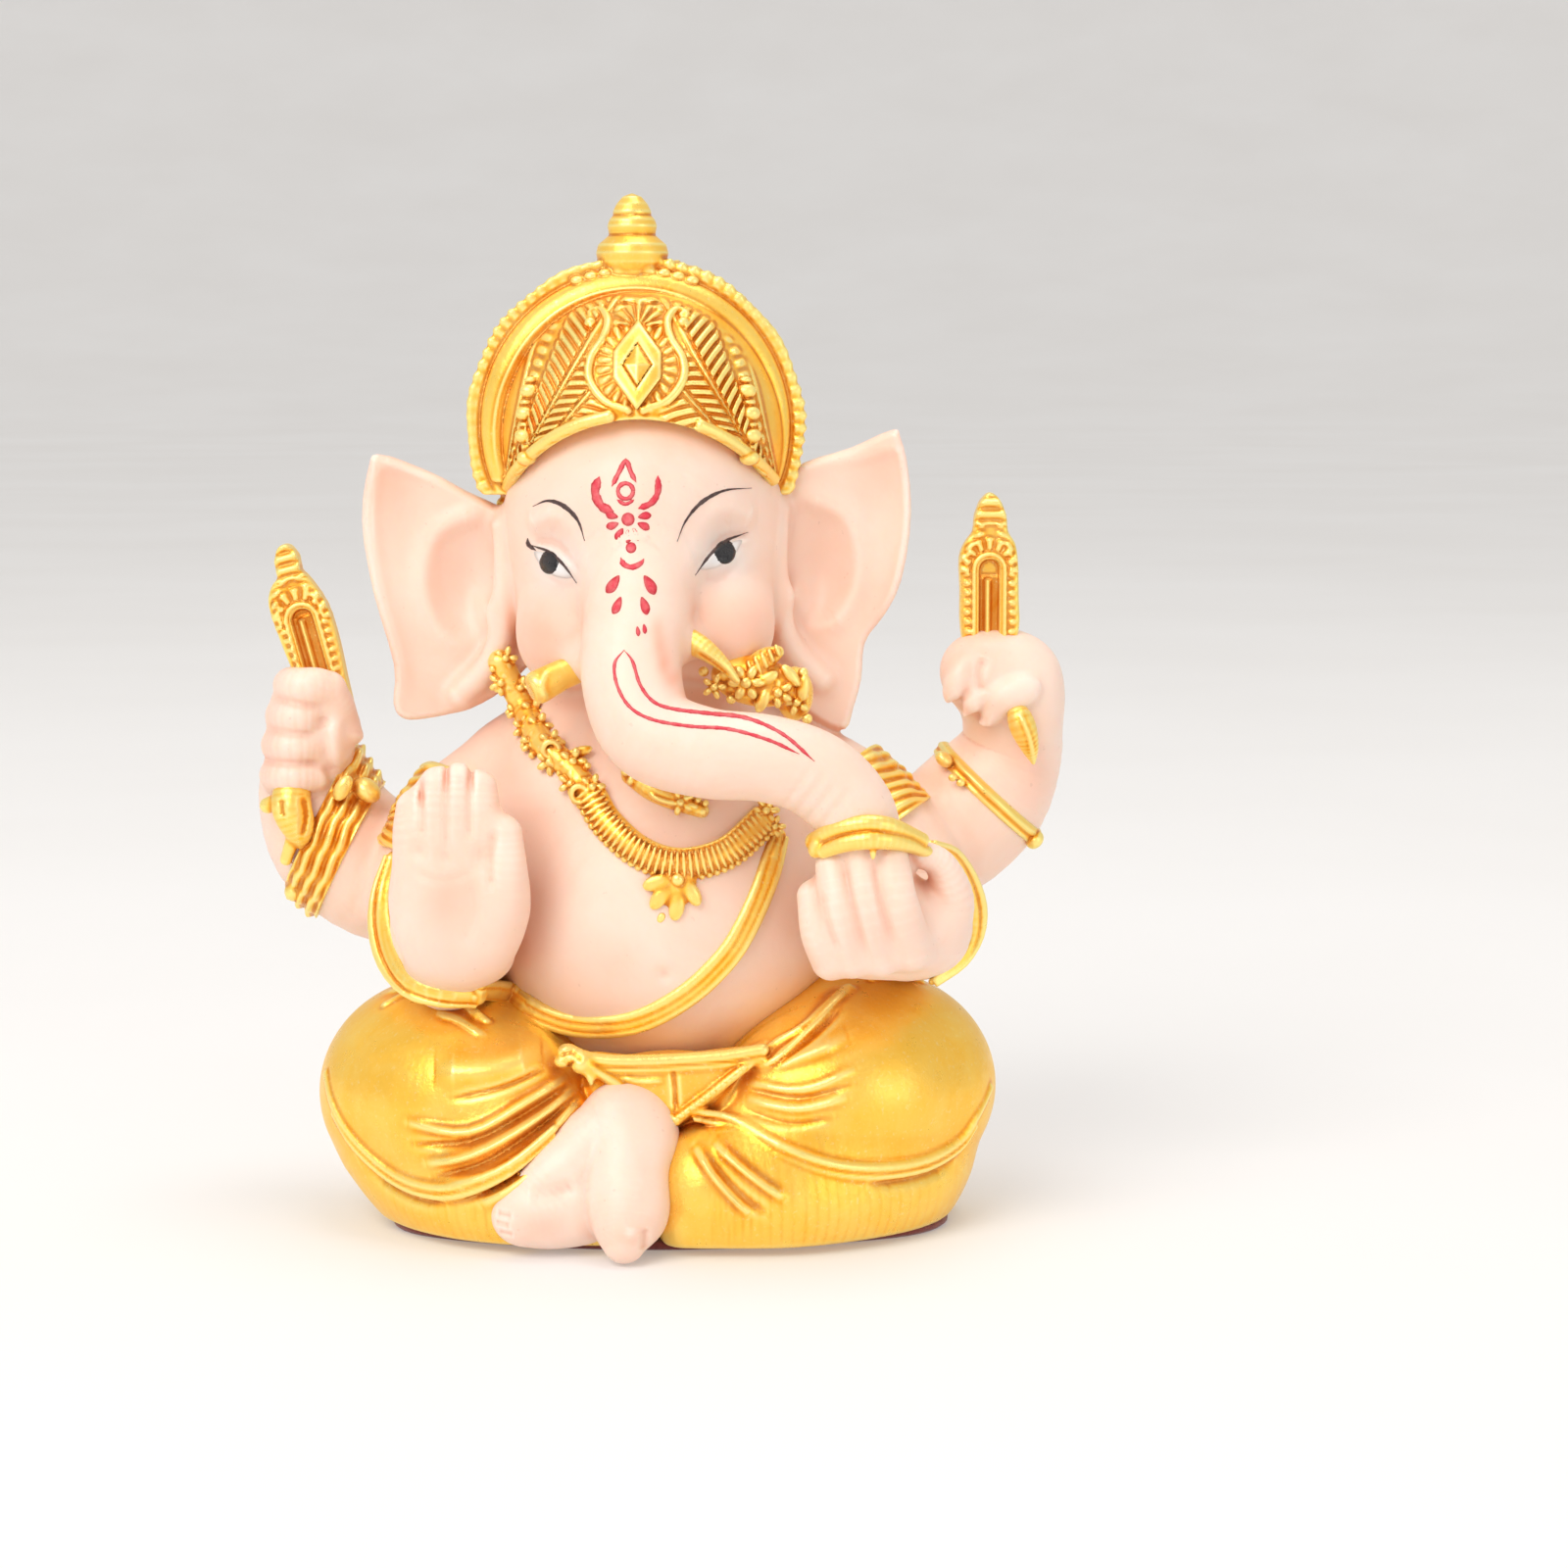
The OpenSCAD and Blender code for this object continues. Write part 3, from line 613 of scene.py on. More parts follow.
# Finger of a hand: [x, y, z, radius] from its root to its tip
PALM_FINGERS = [
    [(-20.0, -17.4, 36.0, 2.1), (-20.7, -17.9, 39.6, 1.9), (-20.9, -17.3, 42.2, 1.45)],
    [(-18.4, -17.8, 36.0, 2.1), (-18.7, -18.3, 41.2, 1.85), (-18.6, -17.7, 44.5, 1.45)],
    [(-16.4, -17.8, 36.0, 2.1), (-16.4, -18.4, 41.8, 1.85), (-16.3, -17.7, 45.0, 1.4)],
    [(-14.6, -17.6, 36.0, 2.0), (-14.3, -18.1, 41.2, 1.75), (-14.3, -17.4, 44.2, 1.4)],
]


def front_right_hand(f):
    f.blob((-16.6, -16.4, 34), (6.2, 4.0, 7.6))
    f.blob((-19.0, -17.0, 32.6), (3.6, 3.3, 5.8), 2.4)
    f.blob((-13.6, -17.4, 32.4), (3.0, 3.0, 5.4), 2.4)
    f.blob((-17.4, -16.8, 39.6), (4.6, 2.5, 6.2), 2.0)
    for finger in PALM_FINGERS:
        f.cord(finger, 1.3)
    f.cord([(-12.8, -17.8, 33.0, 2.3), (-12.0, -18.6, 36.8, 1.85), (-12.0, -18.4, 40.0, 1.5)], 1.5)
    f.blob((-17, -13.4, 27.4), (5.2, 4.4, 3.2), 2.6)
    for x, z in ((-20.0, 38.6), (-17.6, 38.0), (-14.2, 38.0)):
        f.lobe((x, -20.4, z), (0.9, 3, 1.1), -0.35)
    f.lobe((-16.6, -20.4, 33.4), (2.8, 4, 3.0), -0.4)
    for x, z0, z1 in ((-19.7, 39.6, 44.0), (-17.5, 38.6, 45.2), (-15.3, 39.4, 45.4)):
        f.fold([(x, -20, z0), (x, -20.3, (z0 + z1) / 2), (x, -19.4, z1)], 0.5, -0.22)
    for x, z in ((-19.8, 43.6), (-17.5, 45.2), (-15.3, 45.2)):
        f.lobe((x, -18, z), (0.4, 3, 1.2), -0.42)
    f.fold([(-13.2, -20, 34.6), (-13.4, -20.3, 37.8), (-12.9, -20, 40.6)], 0.5, -0.26)
    f.fold([(-20.6, -20, 36.6), (-17.6, -20.3, 35.8), (-14.6, -20, 36.8)], 0.5, -0.14)
    f.fold([(-15.2, -20, 36.0), (-14.9, -20.3, 32.6), (-16.2, -20, 29.4)], 0.6, -0.16)


CUP_FINGERS = [
    [(16.7, -19.8, 34.2, 1.5), (17.3, -21.0, 31.0, 1.8), (18.4, -20.3, 28.2, 1.9)],
    [(18.5, -21.2, 37.2, 1.6), (19.2, -22.4, 33.0, 1.95), (20.4, -21.2, 28.6, 1.95)],
    [(21.1, -21.8, 38.0, 1.65), (21.8, -22.8, 33.6, 2.0), (22.9, -21.4, 28.8, 2.0)],
    [(23.9, -21.6, 37.8, 1.7), (24.5, -22.4, 33.6, 2.1), (25.6, -21.0, 29.4, 2.2)],
]


def front_left_hand(f):
    f.blob((22.6, -16.8, 31.4), (6.8, 4.8, 5.6))
    f.blob((21.2, -18.6, 32.6), (5.4, 3.8, 5.6), 1.6)
    for finger in CUP_FINGERS:
        f.cord(finger, 0.9)
    f.cord([
        (26.6, -19.4, 38.2, 1.3), (28.6, -18.4, 36.8, 1.6), (29.6, -17.0, 33.4, 2.3),
        (28.4, -15.8, 30.0, 3.0),
    ], 1.2)
    f.blob((26.6, -15.6, 29.8), (4.2, 5.0, 4.0), 2.0)
    f.lobe((27.3, -19.6, 35.4), (1.2, 5, 1.3), -0.35)
    for p in (
        ((17.4, 35.4), (18.0, 32.4), (19.1, 29.4)), ((19.5, 37.9), (20.3, 34.2), (21.6, 29.2)),
        ((22.1, 38.2), (22.9, 34.6), (24.2, 30.2)),
    ):
        f.fold([(x, -22.6, z) for x, z in p], 0.5, -0.24)


def sweet(f):
    f.blob((22.2, -18.6, 37.0), (4.2, 3.2, 2.6))


def rear_right_hand(f):
    f.blob((-33.2, 3.4, 47.6), (4.2, 4.4, 6.2))
    f.blob((-30.9, 1.6, 47.4), (2.4, 3.4, 4.6), 1.4)
    f.blob((-29.0, 1.4, 47.3), (1.5, 1.5, 1.0), 1.0, (0, 25, 0))
    rolls = [(-34.6, 51.9, 1.85), (-35.5, 48.9, 1.75), (-36.0, 46.0, 1.75), (-36.2, 43.0, 1.75)]
    for x, z, r in rolls:
        f.cord([(x, 1.6, z, r), (x + 1.6, -0.9, z + 0.1, r), (x + 4.0, -0.2, z + 0.1, r * 0.8)], 0.55)
    f.cord([(-32.0, -0.6, 52.0, 1.7), (-30.0, 0.2, 50.6, 1.5), (-29.2, 1.4, 48.4, 1.2)], 0.8)
    f.fold([(-31.3, -2, 49.2), (-31.0, -2.2, 46), (-30.6, -2, 42.6)], 0.7, -0.5)
    f.lobe((-31.0, -2, 48.9), (0.8, 2, 0.7), -0.6)


def rear_left_hand(f):
    f.blob((35.6, 2.8, 52.6), (5.4, 4.6, 4.9))
    f.blob((33.0, 1.4, 53.4), (3.6, 3.4, 3.6), 1.5)
    f.blob((38.4, 3.0, 50.2), (3.2, 3.8, 5.2), 2)
    for x, z, turn_y in ((31.0, 52.6, 20), (32.9, 50.9, 35), (34.9, 49.9, 50)):
        f.blob((x, -0.6, z), (1.25, 1.5, 2.5), 0.45, (0, turn_y, 0))
    f.blob((36.4, -1.6, 51.4), (2.8, 1.5, 1.7), 0.8, (0, -20, 0))
    f.fold([(30.2, -2, 50.9), (32.0, -2.4, 49.4), (34.2, -2.4, 48.7)], 0.6, -0.5)
    f.fold([(33.6, -3, 55), (33.0, -3.2, 53.2), (33.4, -3, 51.4)], 0.5, -0.3)


def left_foot(f):
    """The foot that hangs in front: ankle at the pleat, toes at the shelf."""
    f.cord([
        (-0.6, -17.4, 11.6, 4.3), (-0.9, -19.4, 9.0, 4.2), (-0.9, -21.2, 6.0, 4.0),
        (-0.9, -22.8, 3.9, 3.1), (-0.9, -24.0, 2.3, 2.1),
    ])
    f.blob((-2.2, -17.8, 13.0), (2.4, 3.0, 2.4), 1.8)
    f.blob((1.5, -18.4, 10.6), (2.3, 3.0, 2.6), 1.6)
    f.blob((0.9, -21.6, 4.4), (2.0, 2.6, 2.6), 1.6)
    f.fold([(1.2, -24, 10.6), (1.5, -24, 8.0), (1.1, -25, 5.2)], 0.9, -0.14)
    f.fold([(1.1, -26, 3.9), (1.0, -26, 2.8), (0.9, -26, 1.6)], 0.4, -0.22)
    f.lobe((-0.2, -26, 3.6), (0.7, 3, 0.7), 0.25)


def right_foot(f):
    """The foot that lies flat and points to the figure's right, with its ankle under the garment's hem."""
    f.cord([
        (-1.6, -18.0, 12.8, 3.0), (-4.6, -18.8, 9.8, 3.5), (-7.4, -19.6, 7.2, 3.6),
        (-9.4, -20.2, 5.2, 3.3),
    ])
    f.cord([(-3.4, -19.4, 5.0, 3.4), (-7.6, -20.2, 4.0, 3.0), (-10.4, -20.8, 3.6, 2.4)], 1.6)
    f.blob((-11.2, -20.9, 3.9), (2.2, 1.9, 2.1), 1.2)
    f.blob((-7.4, -19.6, 3.0), (5.4, 2.8, 2.2), 1.2)
    f.lobe((-7.2, -23.4, 7.0), (1.5, 3, 1.0), -0.4)
    f.fold([(-9.8, -23, 6.5), (-7.4, -23.4, 6.5), (-5.4, -23, 7.4)], 0.8, -0.25)
    for z, reach in ((4.6, -12.9), (3.7, -13.1), (2.8, -12.8)):
        f.fold([(reach, -23, z), (reach + 0.8, -23, z - 0.05), (reach + 1.5, -23, z - 0.1)], 0.3, -0.16)


SKIN_PARTS = [
    ("torso", torso, 0),
    ("upper_arm_front_right", front_right_arm, 3.0),
    ("upper_arm_front_left", lambda f: f.cord(FRONT_LEFT_LIMB), 3.0),
    ("arm_rear_right", lambda f: f.cord(REAR_RIGHT_LIMB), 2.5),
    ("arm_rear_left", lambda f: f.cord(REAR_LEFT_LIMB), 2.5),
    ("head", head, 2.0),
    ("trunk", trunk, 3.4),
    ("ear_right", lambda f: ear(f, EAR_RIGHT, -1, 0), 1.2),
    ("ear_left", lambda f: ear(f, EAR_LEFT, 1, 1.6), 1.2),
    ("hand_front_right", front_right_hand, 0.8),
    ("hand_front_left", front_left_hand, 0.8),
    ("modak", sweet, 0.6),
    ("hand_rear_right", rear_right_hand, 1.0),
    ("hand_rear_left", rear_left_hand, 1.6),
    ("left_foot", left_foot, 0.5),
    ("right_foot", right_foot, 0.6),
]


def skin(f):
    f.join_all(SKIN_PARTS)


# Where the colour is warmer: centre and half widths, then strength
BLUSHES = [
    ((-8.3, -12, 58.6), (3.6, 5, 3.2), 0.7),
    ((9.8, -12, 59.2), (3.6, 5, 3.2), 0.55),
    ((-25.0, 0, 54.0), (2.4, 5, 5.0), 0.5),
    ((-24.6, 0, 72.0), (3.0, 5, 4.0), 0.45),
    ((24.0, 0, 74.0), (3.0, 5, 4.0), 0.45),
    ((24.0, 0, 60.0), (2.4, 5, 5.0), 0.4),
    ((-36.4, 0, 46.0), (2.0, 5, 6.0), 0.35),
    ((32.6, 0, 55.0), (2.4, 5, 2.4), 0.4),
    ((38.4, 0, 43.0), (2.4, 6, 4.0), 0.35),
    ((-0.8, -24, 3.0), (2.0, 4, 2.2), 0.45),
    ((-18.0, -19, 43.6), (3.4, 4, 2.4), 0.35),
    ((-17.2, -20, 33.6), (3.0, 3, 3.4), 0.5),
    ((21.6, -22, 31.6), (3.2, 4, 3.0), 0.35),
    ((-3.2, -16, 27.0), (3.6, 4, 3.0), 0.25),
    ((2.3, -17, 59.2), (0.6, 6, 1.0), 0.7),
    ((2.5, -17, 57.6), (0.6, 6, 1.0), 0.9),
    ((2.9, -18, 56.0), (0.6, 6, 1.0), 1.0),
    ((3.7, -18, 54.6), (0.8, 6, 0.8), 0.9),
    ((5.0, -19, 53.4), (1.1, 6, 0.6), 0.6),
    ((3.2, -18, 55.6), (1.8, 6, 3.0), 0.3),
    ((-8.6, -22, 3.6), (2.2, 3, 1.3), 0.5),
    ((-12.4, -8, 44.8), (2.4, 5, 3.4), 0.35),
    ((-27.4, 0, 36.8), (2.2, 5, 2.6), 0.4),
    ((-17.6, -2, 62.0), (2.6, 3, 4.0), 0.4),
    ((18.2, -2, 62.6), (2.6, 3, 4.0), 0.35),
    ((0.2, -13, 70.8), (4.6, 4, 4.4), 0.22),
]


# Painted shade round the eyes: a thin grey-white tint over the sunken sockets
EYE_SHADES = [
    ((-8.0, -12, 64.8), (3.4, 5, 2.6), 0.85),
    ((8.7, -12, 65.6), (3.6, 5, 2.6), 0.85),
]


def spots(verts, places):
    total = np.zeros(len(verts))
    for c, r, amount in places:
        total += amount * np.exp(-np.sum(((verts - np.array(c)) / np.array(r)) ** 2, 1))
    return total


def add_blush(surface):
    surface.blush = spots(surface.verts, BLUSHES)
    # painted shade: a grey tint round the eyes
    surface.wash = spots(surface.verts, EYE_SHADES)


def make_pad():
    """The thin felt pad under the seat, with a soft edge."""
    outline = spline([
        (-22, -12), (-8, -17.5), (8, -18), (26, -13), (29.5, -4), (22, 6), (10, 14), (-4, 14.5),
        (-16, 6), (-23, -3),
    ], 8, closed=True)
    middle = outline.mean(0)
    rows = [(1.0, 0.0), (1.012, 0.25), (1.012, 0.6), (1.0, 0.8), (0.97, 0.86), (0.5, 0.86), (0.02, 0.86)]
    rows = [(0.02, 0.0), (0.5, 0.0)] + rows
    n = len(outline)
    verts = np.concatenate([np.c_[middle + (outline - middle) * s, np.full(n, z)] for s, z in rows])
    i, j = np.meshgrid(np.arange(len(rows) - 1), np.arange(n), indexing="ij")
    a, b = i * n + j, i * n + (j + 1) % n
    faces = np.stack([a, b, b + n, a + n], -1).reshape(-1, 4)
    pad = new_mesh("felt_pad", verts, faces)
    finish_piece(pad, felt_material(), "felt", "base_pad")


# ---- meshes to pieces ----
class Surface:
    """A sculpted surface: vertices in mm, quads, normals and what the materials read."""

    def __init__(self, build, lo, hi, cell, reach=FORM_REACH):
        Field.reach = reach
        grid = dense_field(build, lo, hi, cell)
        verts, self.quads = surface_nets(grid, np.asarray(lo, float), cell)
        self.verts, self.normal, self.bend, self.open, self.parts = settle(
            build, relax(verts, self.quads), cell,
        )
        self.verts = unfold(self.verts, self.normal, self.quads)
        Field.reach = FORM_REACH
        self.blush = self.wash = np.zeros(len(self.verts))

    def labels(self):
        """The nearest part of each face, as an index into the parts."""
        near = np.stack(list(self.parts.values()), 1)
        return near[self.quads].mean(1).argmin(1)


def new_mesh(name, verts, faces, normals=None, shade=None):
    """A mesh object from millimetres. shade holds openness, bend, blush and the painted shade round the eyes,
    from 0 to 1.
    """
    mesh = bpy.data.meshes.new(name)
    mesh.vertices.add(len(verts))
    mesh.vertices.foreach_set("co", (np.asarray(verts) * MM).astype(np.float32).ravel())
    faces = np.asarray(faces)
    mesh.loops.add(faces.size)
    mesh.loops.foreach_set("vertex_index", faces.astype(np.int32).ravel())
    mesh.polygons.add(len(faces))
    mesh.polygons.foreach_set("loop_start", np.arange(0, faces.size, faces.shape[1], dtype=np.int32))
    mesh.update(calc_edges=True)
    mesh.validate()
    if shade is not None:
        layer = mesh.attributes.new("shade", "FLOAT_COLOR", "POINT")
        layer.data.foreach_set("color", shade.astype(np.float32).ravel())
    mesh.polygons.foreach_set("use_smooth", np.ones(len(mesh.polygons), bool))
    if normals is not None:
        mesh.normals_split_custom_set_from_vertices(normals.astype(np.float32))
    obj = bpy.data.objects.new(name, mesh)
    bpy.context.scene.collection.objects.link(obj)
    return obj


def finish_piece(obj, material, slot, *nodes):
    obj.data.materials.append(material)
    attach(obj, "root")
    if nodes:
        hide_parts(*nodes)


def split_pieces(surface, prefix, material, slot):
    """One piece for each part of a sculpted surface, standing for the CAD node of the same name."""
    labels = surface.labels()
    shade = np.stack(
        [
            surface.open,
            np.clip(0.5 + surface.bend * 0.25, 0, 1),
            np.clip(surface.blush, 0, 1),
            np.clip(surface.wash, 0, 1),
        ],
        1,
    )
    for i, name in enumerate(surface.parts):
        quads = surface.quads[labels == i]
        used, faces = np.unique(quads, return_inverse=True)
        faces = faces.reshape(quads.shape)
        obj = new_mesh(prefix + name, surface.verts[used], faces, surface.normal[used], shade[used])
        finish_piece(obj, material, slot, name)


# ---- materials ----
def new_material(name):
    material = bpy.data.materials.new(name)
    material.use_nodes = True
    tree = material.node_tree
    shader = tree.nodes["Principled BSDF"]
    return material, tree, shader


def node(tree, kind, **settings):
    n = tree.nodes.new(kind)
    for key, value in settings.items():
        if hasattr(n, key):
            setattr(n, key, value)
        else:
            n.inputs[key.replace("_", " ")].default_value = value
    return n


def ramp(tree, source, stops):
    """A colour ramp on a value: stops are (position, colour)."""
    n = tree.nodes.new("ShaderNodeValToRGB")
    while len(n.color_ramp.elements) < len(stops):
        n.color_ramp.elements.new(0.5)
    for element, (place, colour) in zip(n.color_ramp.elements, stops):
        element.position = place
        colour = colour if isinstance(colour, tuple) else (colour,) * 3
        element.color = (*colour, 1)
    tree.links.new(source, n.inputs["Fac"])
    return n.outputs["Color"]


def noise(tree, scale, detail=3.0, rough=0.5, distortion=0.0):
    place = node(tree, "ShaderNodeTexCoord")
    n = node(tree, "ShaderNodeTexNoise", Scale=scale, Detail=detail, Roughness=rough, Distortion=distortion)
    tree.links.new(place.outputs["Object"], n.inputs["Vector"])
    return n.outputs["Fac"]


def mix(tree, amount, a, b):
    """Mixes two colours; each may be a socket or a constant."""
    n = tree.nodes.new("ShaderNodeMix")
    n.data_type = "RGBA"
    for key, value in (("Factor_Float", amount), ("A_Color", a), ("B_Color", b)):
        socket = next(s for s in n.inputs if s.identifier == key)
        if isinstance(value, bpy.types.NodeSocket):
            tree.links.new(value, socket)
        elif key == "Factor_Float":
            socket.default_value = value
        else:
            socket.default_value = (*value, 1)
    return next(s for s in n.outputs if s.identifier == "Result_Color")


def shade_channels(tree):
    source = node(tree, "ShaderNodeAttribute", attribute_name="shade")
    split = node(tree, "ShaderNodeSeparateColor")
    tree.links.new(source.outputs["Color"], split.inputs["Color"])
    return split.outputs["Red"], split.outputs["Green"], split.outputs["Blue"], source.outputs["Alpha"]


def add_bump(tree, shader, height, strength, distance):
    n = node(tree, "ShaderNodeBump", Strength=strength, Distance=distance)
    tree.links.new(height, n.inputs["Height"])
    tree.links.new(n.outputs["Normal"], shader.inputs["Normal"])


# The peach for recesses, the crease colour and the grey round the eyes are painted shade; the pale edge
# colour is a painted highlight. Ivory, blush and specks are the figure's own colours.
IVORY = (0.93, 0.715, 0.605)
IVORY_WARM = (0.92, 0.655, 0.53)
PEACH_SHADE = (0.80, 0.42, 0.28)
CREASE_SHADE = (0.76, 0.42, 0.31)
BLUSH = (0.90, 0.44, 0.31)
EYE_SHADE = (0.76, 0.72, 0.69)
EDGE_HIGHLIGHT = (0.97, 0.86, 0.78)
SPECK = (0.55, 0.36, 0.28)


def resin_material():
    material, tree, shader = new_material("marble_resin")
    openness, bend, blush, wash = shade_channels(tree)
    # painted shade: places little open to the room turn peach, as in recesses and crevices
    recess_shade = ramp(tree, openness, [(0.2, 0.85), (0.58, 0.28), (0.88, 0.0)])
    cloudy = ramp(tree, noise(tree, 90, 4, 0.6, 0.6), [(0.35, IVORY), (0.65, IVORY_WARM)])
    colour = mix(tree, recess_shade, cloudy, PEACH_SHADE)
    colour = mix(tree, blush, colour, BLUSH)
    # painted shade round the eyes
    colour = mix(tree, wash, colour, EYE_SHADE)
    # painted shade: concave creases turn a darker red-brown
    creases = ramp(tree, bend, [(0.20, 0.42), (0.44, 0.0)])
    colour = mix(tree, creases, colour, CREASE_SHADE)
    # painted highlight: convex ridges turn paler
    edges = ramp(tree, bend, [(0.55, 0.0), (0.80, 0.5)])
    colour = mix(tree, edges, colour, EDGE_HIGHLIGHT)
    specks = ramp(tree, noise(tree, 1700, 1, 0.4), [(0.76, 0.0), (0.79, 0.22)])
    colour = mix(tree, specks, colour, SPECK)
    tree.links.new(colour, shader.inputs["Base Color"])
    gloss = ramp(tree, noise(tree, 260, 4, 0.6), [(0.3, 0.34), (0.7, 0.47)])
    tree.links.new(gloss, shader.inputs["Roughness"])
    shader.inputs["Subsurface Weight"].default_value = 0.3
    shader.inputs["Subsurface Radius"].default_value = (1.0, 0.45, 0.28)
    shader.inputs["Subsurface Scale"].default_value = 0.0009
    shader.inputs["IOR"].default_value = 1.46
    add_bump(tree, shader, noise(tree, 1100, 3, 0.5), 0.12, 0.0002)
    return material


# The ramp from the darkest gold through warm to pale gold paints shade in creases and recesses and highlights
# on ridges; pale gold also makes random paler patches, and the glint colour paints glints.
GOLD_SHADE = (0.70, 0.22, 0.006)
GOLD_WARM = (0.95, 0.42, 0.02)
GOLD = (1.0, 0.60, 0.07)
GOLD_PALE = (1.0, 0.81, 0.26)
GOLD_GLINT = (1.0, 0.88, 0.48)


def gold_material():
    material, tree, shader = new_material("gold_paint")
    openness, bend, _, _ = shade_channels(tree)
    # painted shade and highlight: concave creases go dark orange, convex ridges pale
    relief = ramp(tree, bend, [(0.24, GOLD_SHADE), (0.43, GOLD_WARM), (0.53, GOLD), (0.74, GOLD_PALE)])
    # painted shade: places little open to the room darken to the darkest gold
    recess_shade = ramp(tree, openness, [(0.15, 0.8), (0.4, 0.35), (0.72, 0.0)])
    colour = mix(tree, recess_shade, relief, GOLD_SHADE)
    patches = ramp(tree, noise(tree, 170, 5, 0.65, 0.8), [(0.38, 0.0), (0.68, 0.3)])
    colour = mix(tree, patches, colour, GOLD_PALE)
    # painted glints: tiny pale dots scattered over the gold
    painted_glints = ramp(tree, noise(tree, 2600, 2, 0.6), [(0.60, 0.0), (0.78, 0.35)])
    colour = mix(tree, painted_glints, colour, GOLD_GLINT)
    tree.links.new(colour, shader.inputs["Base Color"])
    shader.inputs["Metallic"].default_value = 0.6
    gloss = ramp(tree, noise(tree, 420, 4, 0.6), [(0.3, 0.25), (0.7, 0.40)])
    tree.links.new(gloss, shader.inputs["Roughness"])
    add_bump(tree, shader, noise(tree, 1500, 4, 0.6), 0.22, 0.00025)
    return material


def felt_material():
    material, tree, shader = new_material("felt")
    fibres = ramp(tree, noise(tree, 2400, 5, 0.7, 1.5), [
        (0.3, (0.16, 0.035, 0.035)), (0.7, (0.30, 0.07, 0.065)),
    ])
    tree.links.new(fibres, shader.inputs["Base Color"])
    shader.inputs["Roughness"].default_value = 0.95
    shader.inputs["Sheen Weight"].default_value = 0.4
    add_bump(tree, shader, noise(tree, 3000, 4, 0.7, 1.0), 0.6, 0.0002)
    return material


def floor_material():
    material, tree, shader = new_material("pale_floor")
    colour = ramp(tree, noise(tree, 6, 3, 0.5), [(0.3, (0.66, 0.65, 0.64)), (0.7, (0.69, 0.685, 0.68))])
    tree.links.new(colour, shader.inputs["Base Color"])
    # a pale backdrop that is lit a little by itself
    shader.inputs["Emission Color"].default_value = (1.0, 0.98, 0.96, 1)
    shader.inputs["Emission Strength"].default_value = 0.22
    shader.inputs["Roughness"].default_value = 0.75
    return material


# ---- stage, lights, camera ----
VIEW_TURN = 7.0
VIEW_DISTANCE = 0.350
VIEW_HEIGHT = 0.0423
VIEW_AIM_X = 0.014
LENS = 81.5
SENSOR = 36.0
WORLD_STRENGTH = 0.66


def make_camera():
    data = bpy.data.cameras.new("camera")
    data.lens, data.sensor_width = LENS, SENSOR
    data.clip_start = 0.01
    camera = bpy.data.objects.new("camera", data)
    bpy.context.scene.collection.objects.link(camera)
    a = math.radians(VIEW_TURN)
    eye = Vector((0, -VIEW_DISTANCE * math.cos(a), VIEW_HEIGHT + VIEW_DISTANCE * math.sin(a)))
    aim = Vector((0, 0, VIEW_HEIGHT))
    camera.rotation_euler = (aim - eye).to_track_quat("-Z", "Y").to_euler()
    camera.location = eye + Vector((VIEW_AIM_X, 0, 0))
    bpy.context.scene.camera = camera


def area_light(name, place, aim, size, power, colour=(1, 1, 1)):
    data = bpy.data.lights.new(name, "AREA")
    data.shape, data.size, data.energy, data.color = "DISK", size, power, colour
    lamp = bpy.data.objects.new(name, data)
    lamp.location = place
    lamp.rotation_euler = (Vector(aim) - Vector(place)).to_track_quat("-Z", "Y").to_euler()
    bpy.context.scene.collection.objects.link(lamp)


def make_stage():
    """A round floor that curves up into a backdrop on every side."""
    flat, bend_r, top, steps, turns = 3.0, 3.0, 5.0, 18, 96
    profile = [(0.0005, 0.0), (0.5 * flat, 0.0), (flat, 0.0)]
    for i in range(1, steps + 1):
        a = 0.5 * math.pi * i / steps
        profile.append((flat + bend_r * math.sin(a), bend_r * (1 - math.cos(a))))
    profile.append((flat + bend_r, top))
    angles = 2 * np.pi * np.arange(turns) / turns
    verts = np.concatenate([
        np.c_[r * np.cos(angles), r * np.sin(angles), np.full(turns, z)] for r, z in profile
    ]) / MM
    i, j = np.meshgrid(np.arange(len(profile) - 1), np.arange(turns), indexing="ij")
    a, b = (i * turns + j).ravel(), (i * turns + (j + 1) % turns).ravel()
    faces = [tuple(int(v) for v in q) for q in np.stack([a, a + turns, b + turns, b], -1)]
    floor = new_mesh("floor_sweep", verts, faces)
    floor.data.materials.append(floor_material())


def make_lights():
    aim = (0, 0, 0.05)
    area_light("key", (-0.42, -0.70, 0.70), aim, 0.75, 6.2, (1.0, 0.965, 0.925))
    area_light("fill", (0.70, -0.60, 0.22), aim, 0.60, 1.0, (1.0, 0.96, 0.93))
    area_light("top", (0.10, 0.05, 0.85), aim, 0.50, 1.8)
    world = bpy.data.worlds.new("studio")
    world.use_nodes = True
    back = world.node_tree.nodes["Background"]
    back.inputs["Color"].default_value = (0.97, 0.95, 0.93, 1)
    back.inputs["Strength"].default_value = WORLD_STRENGTH
    bpy.context.scene.world = world
    # colours as they are, with no film-like fading of the paints
    bpy.context.scene.view_settings.view_transform = "Standard"


# ---- laying lines on a surface ----
MARCH_START = -45.0
MARCH_STEPS = 46


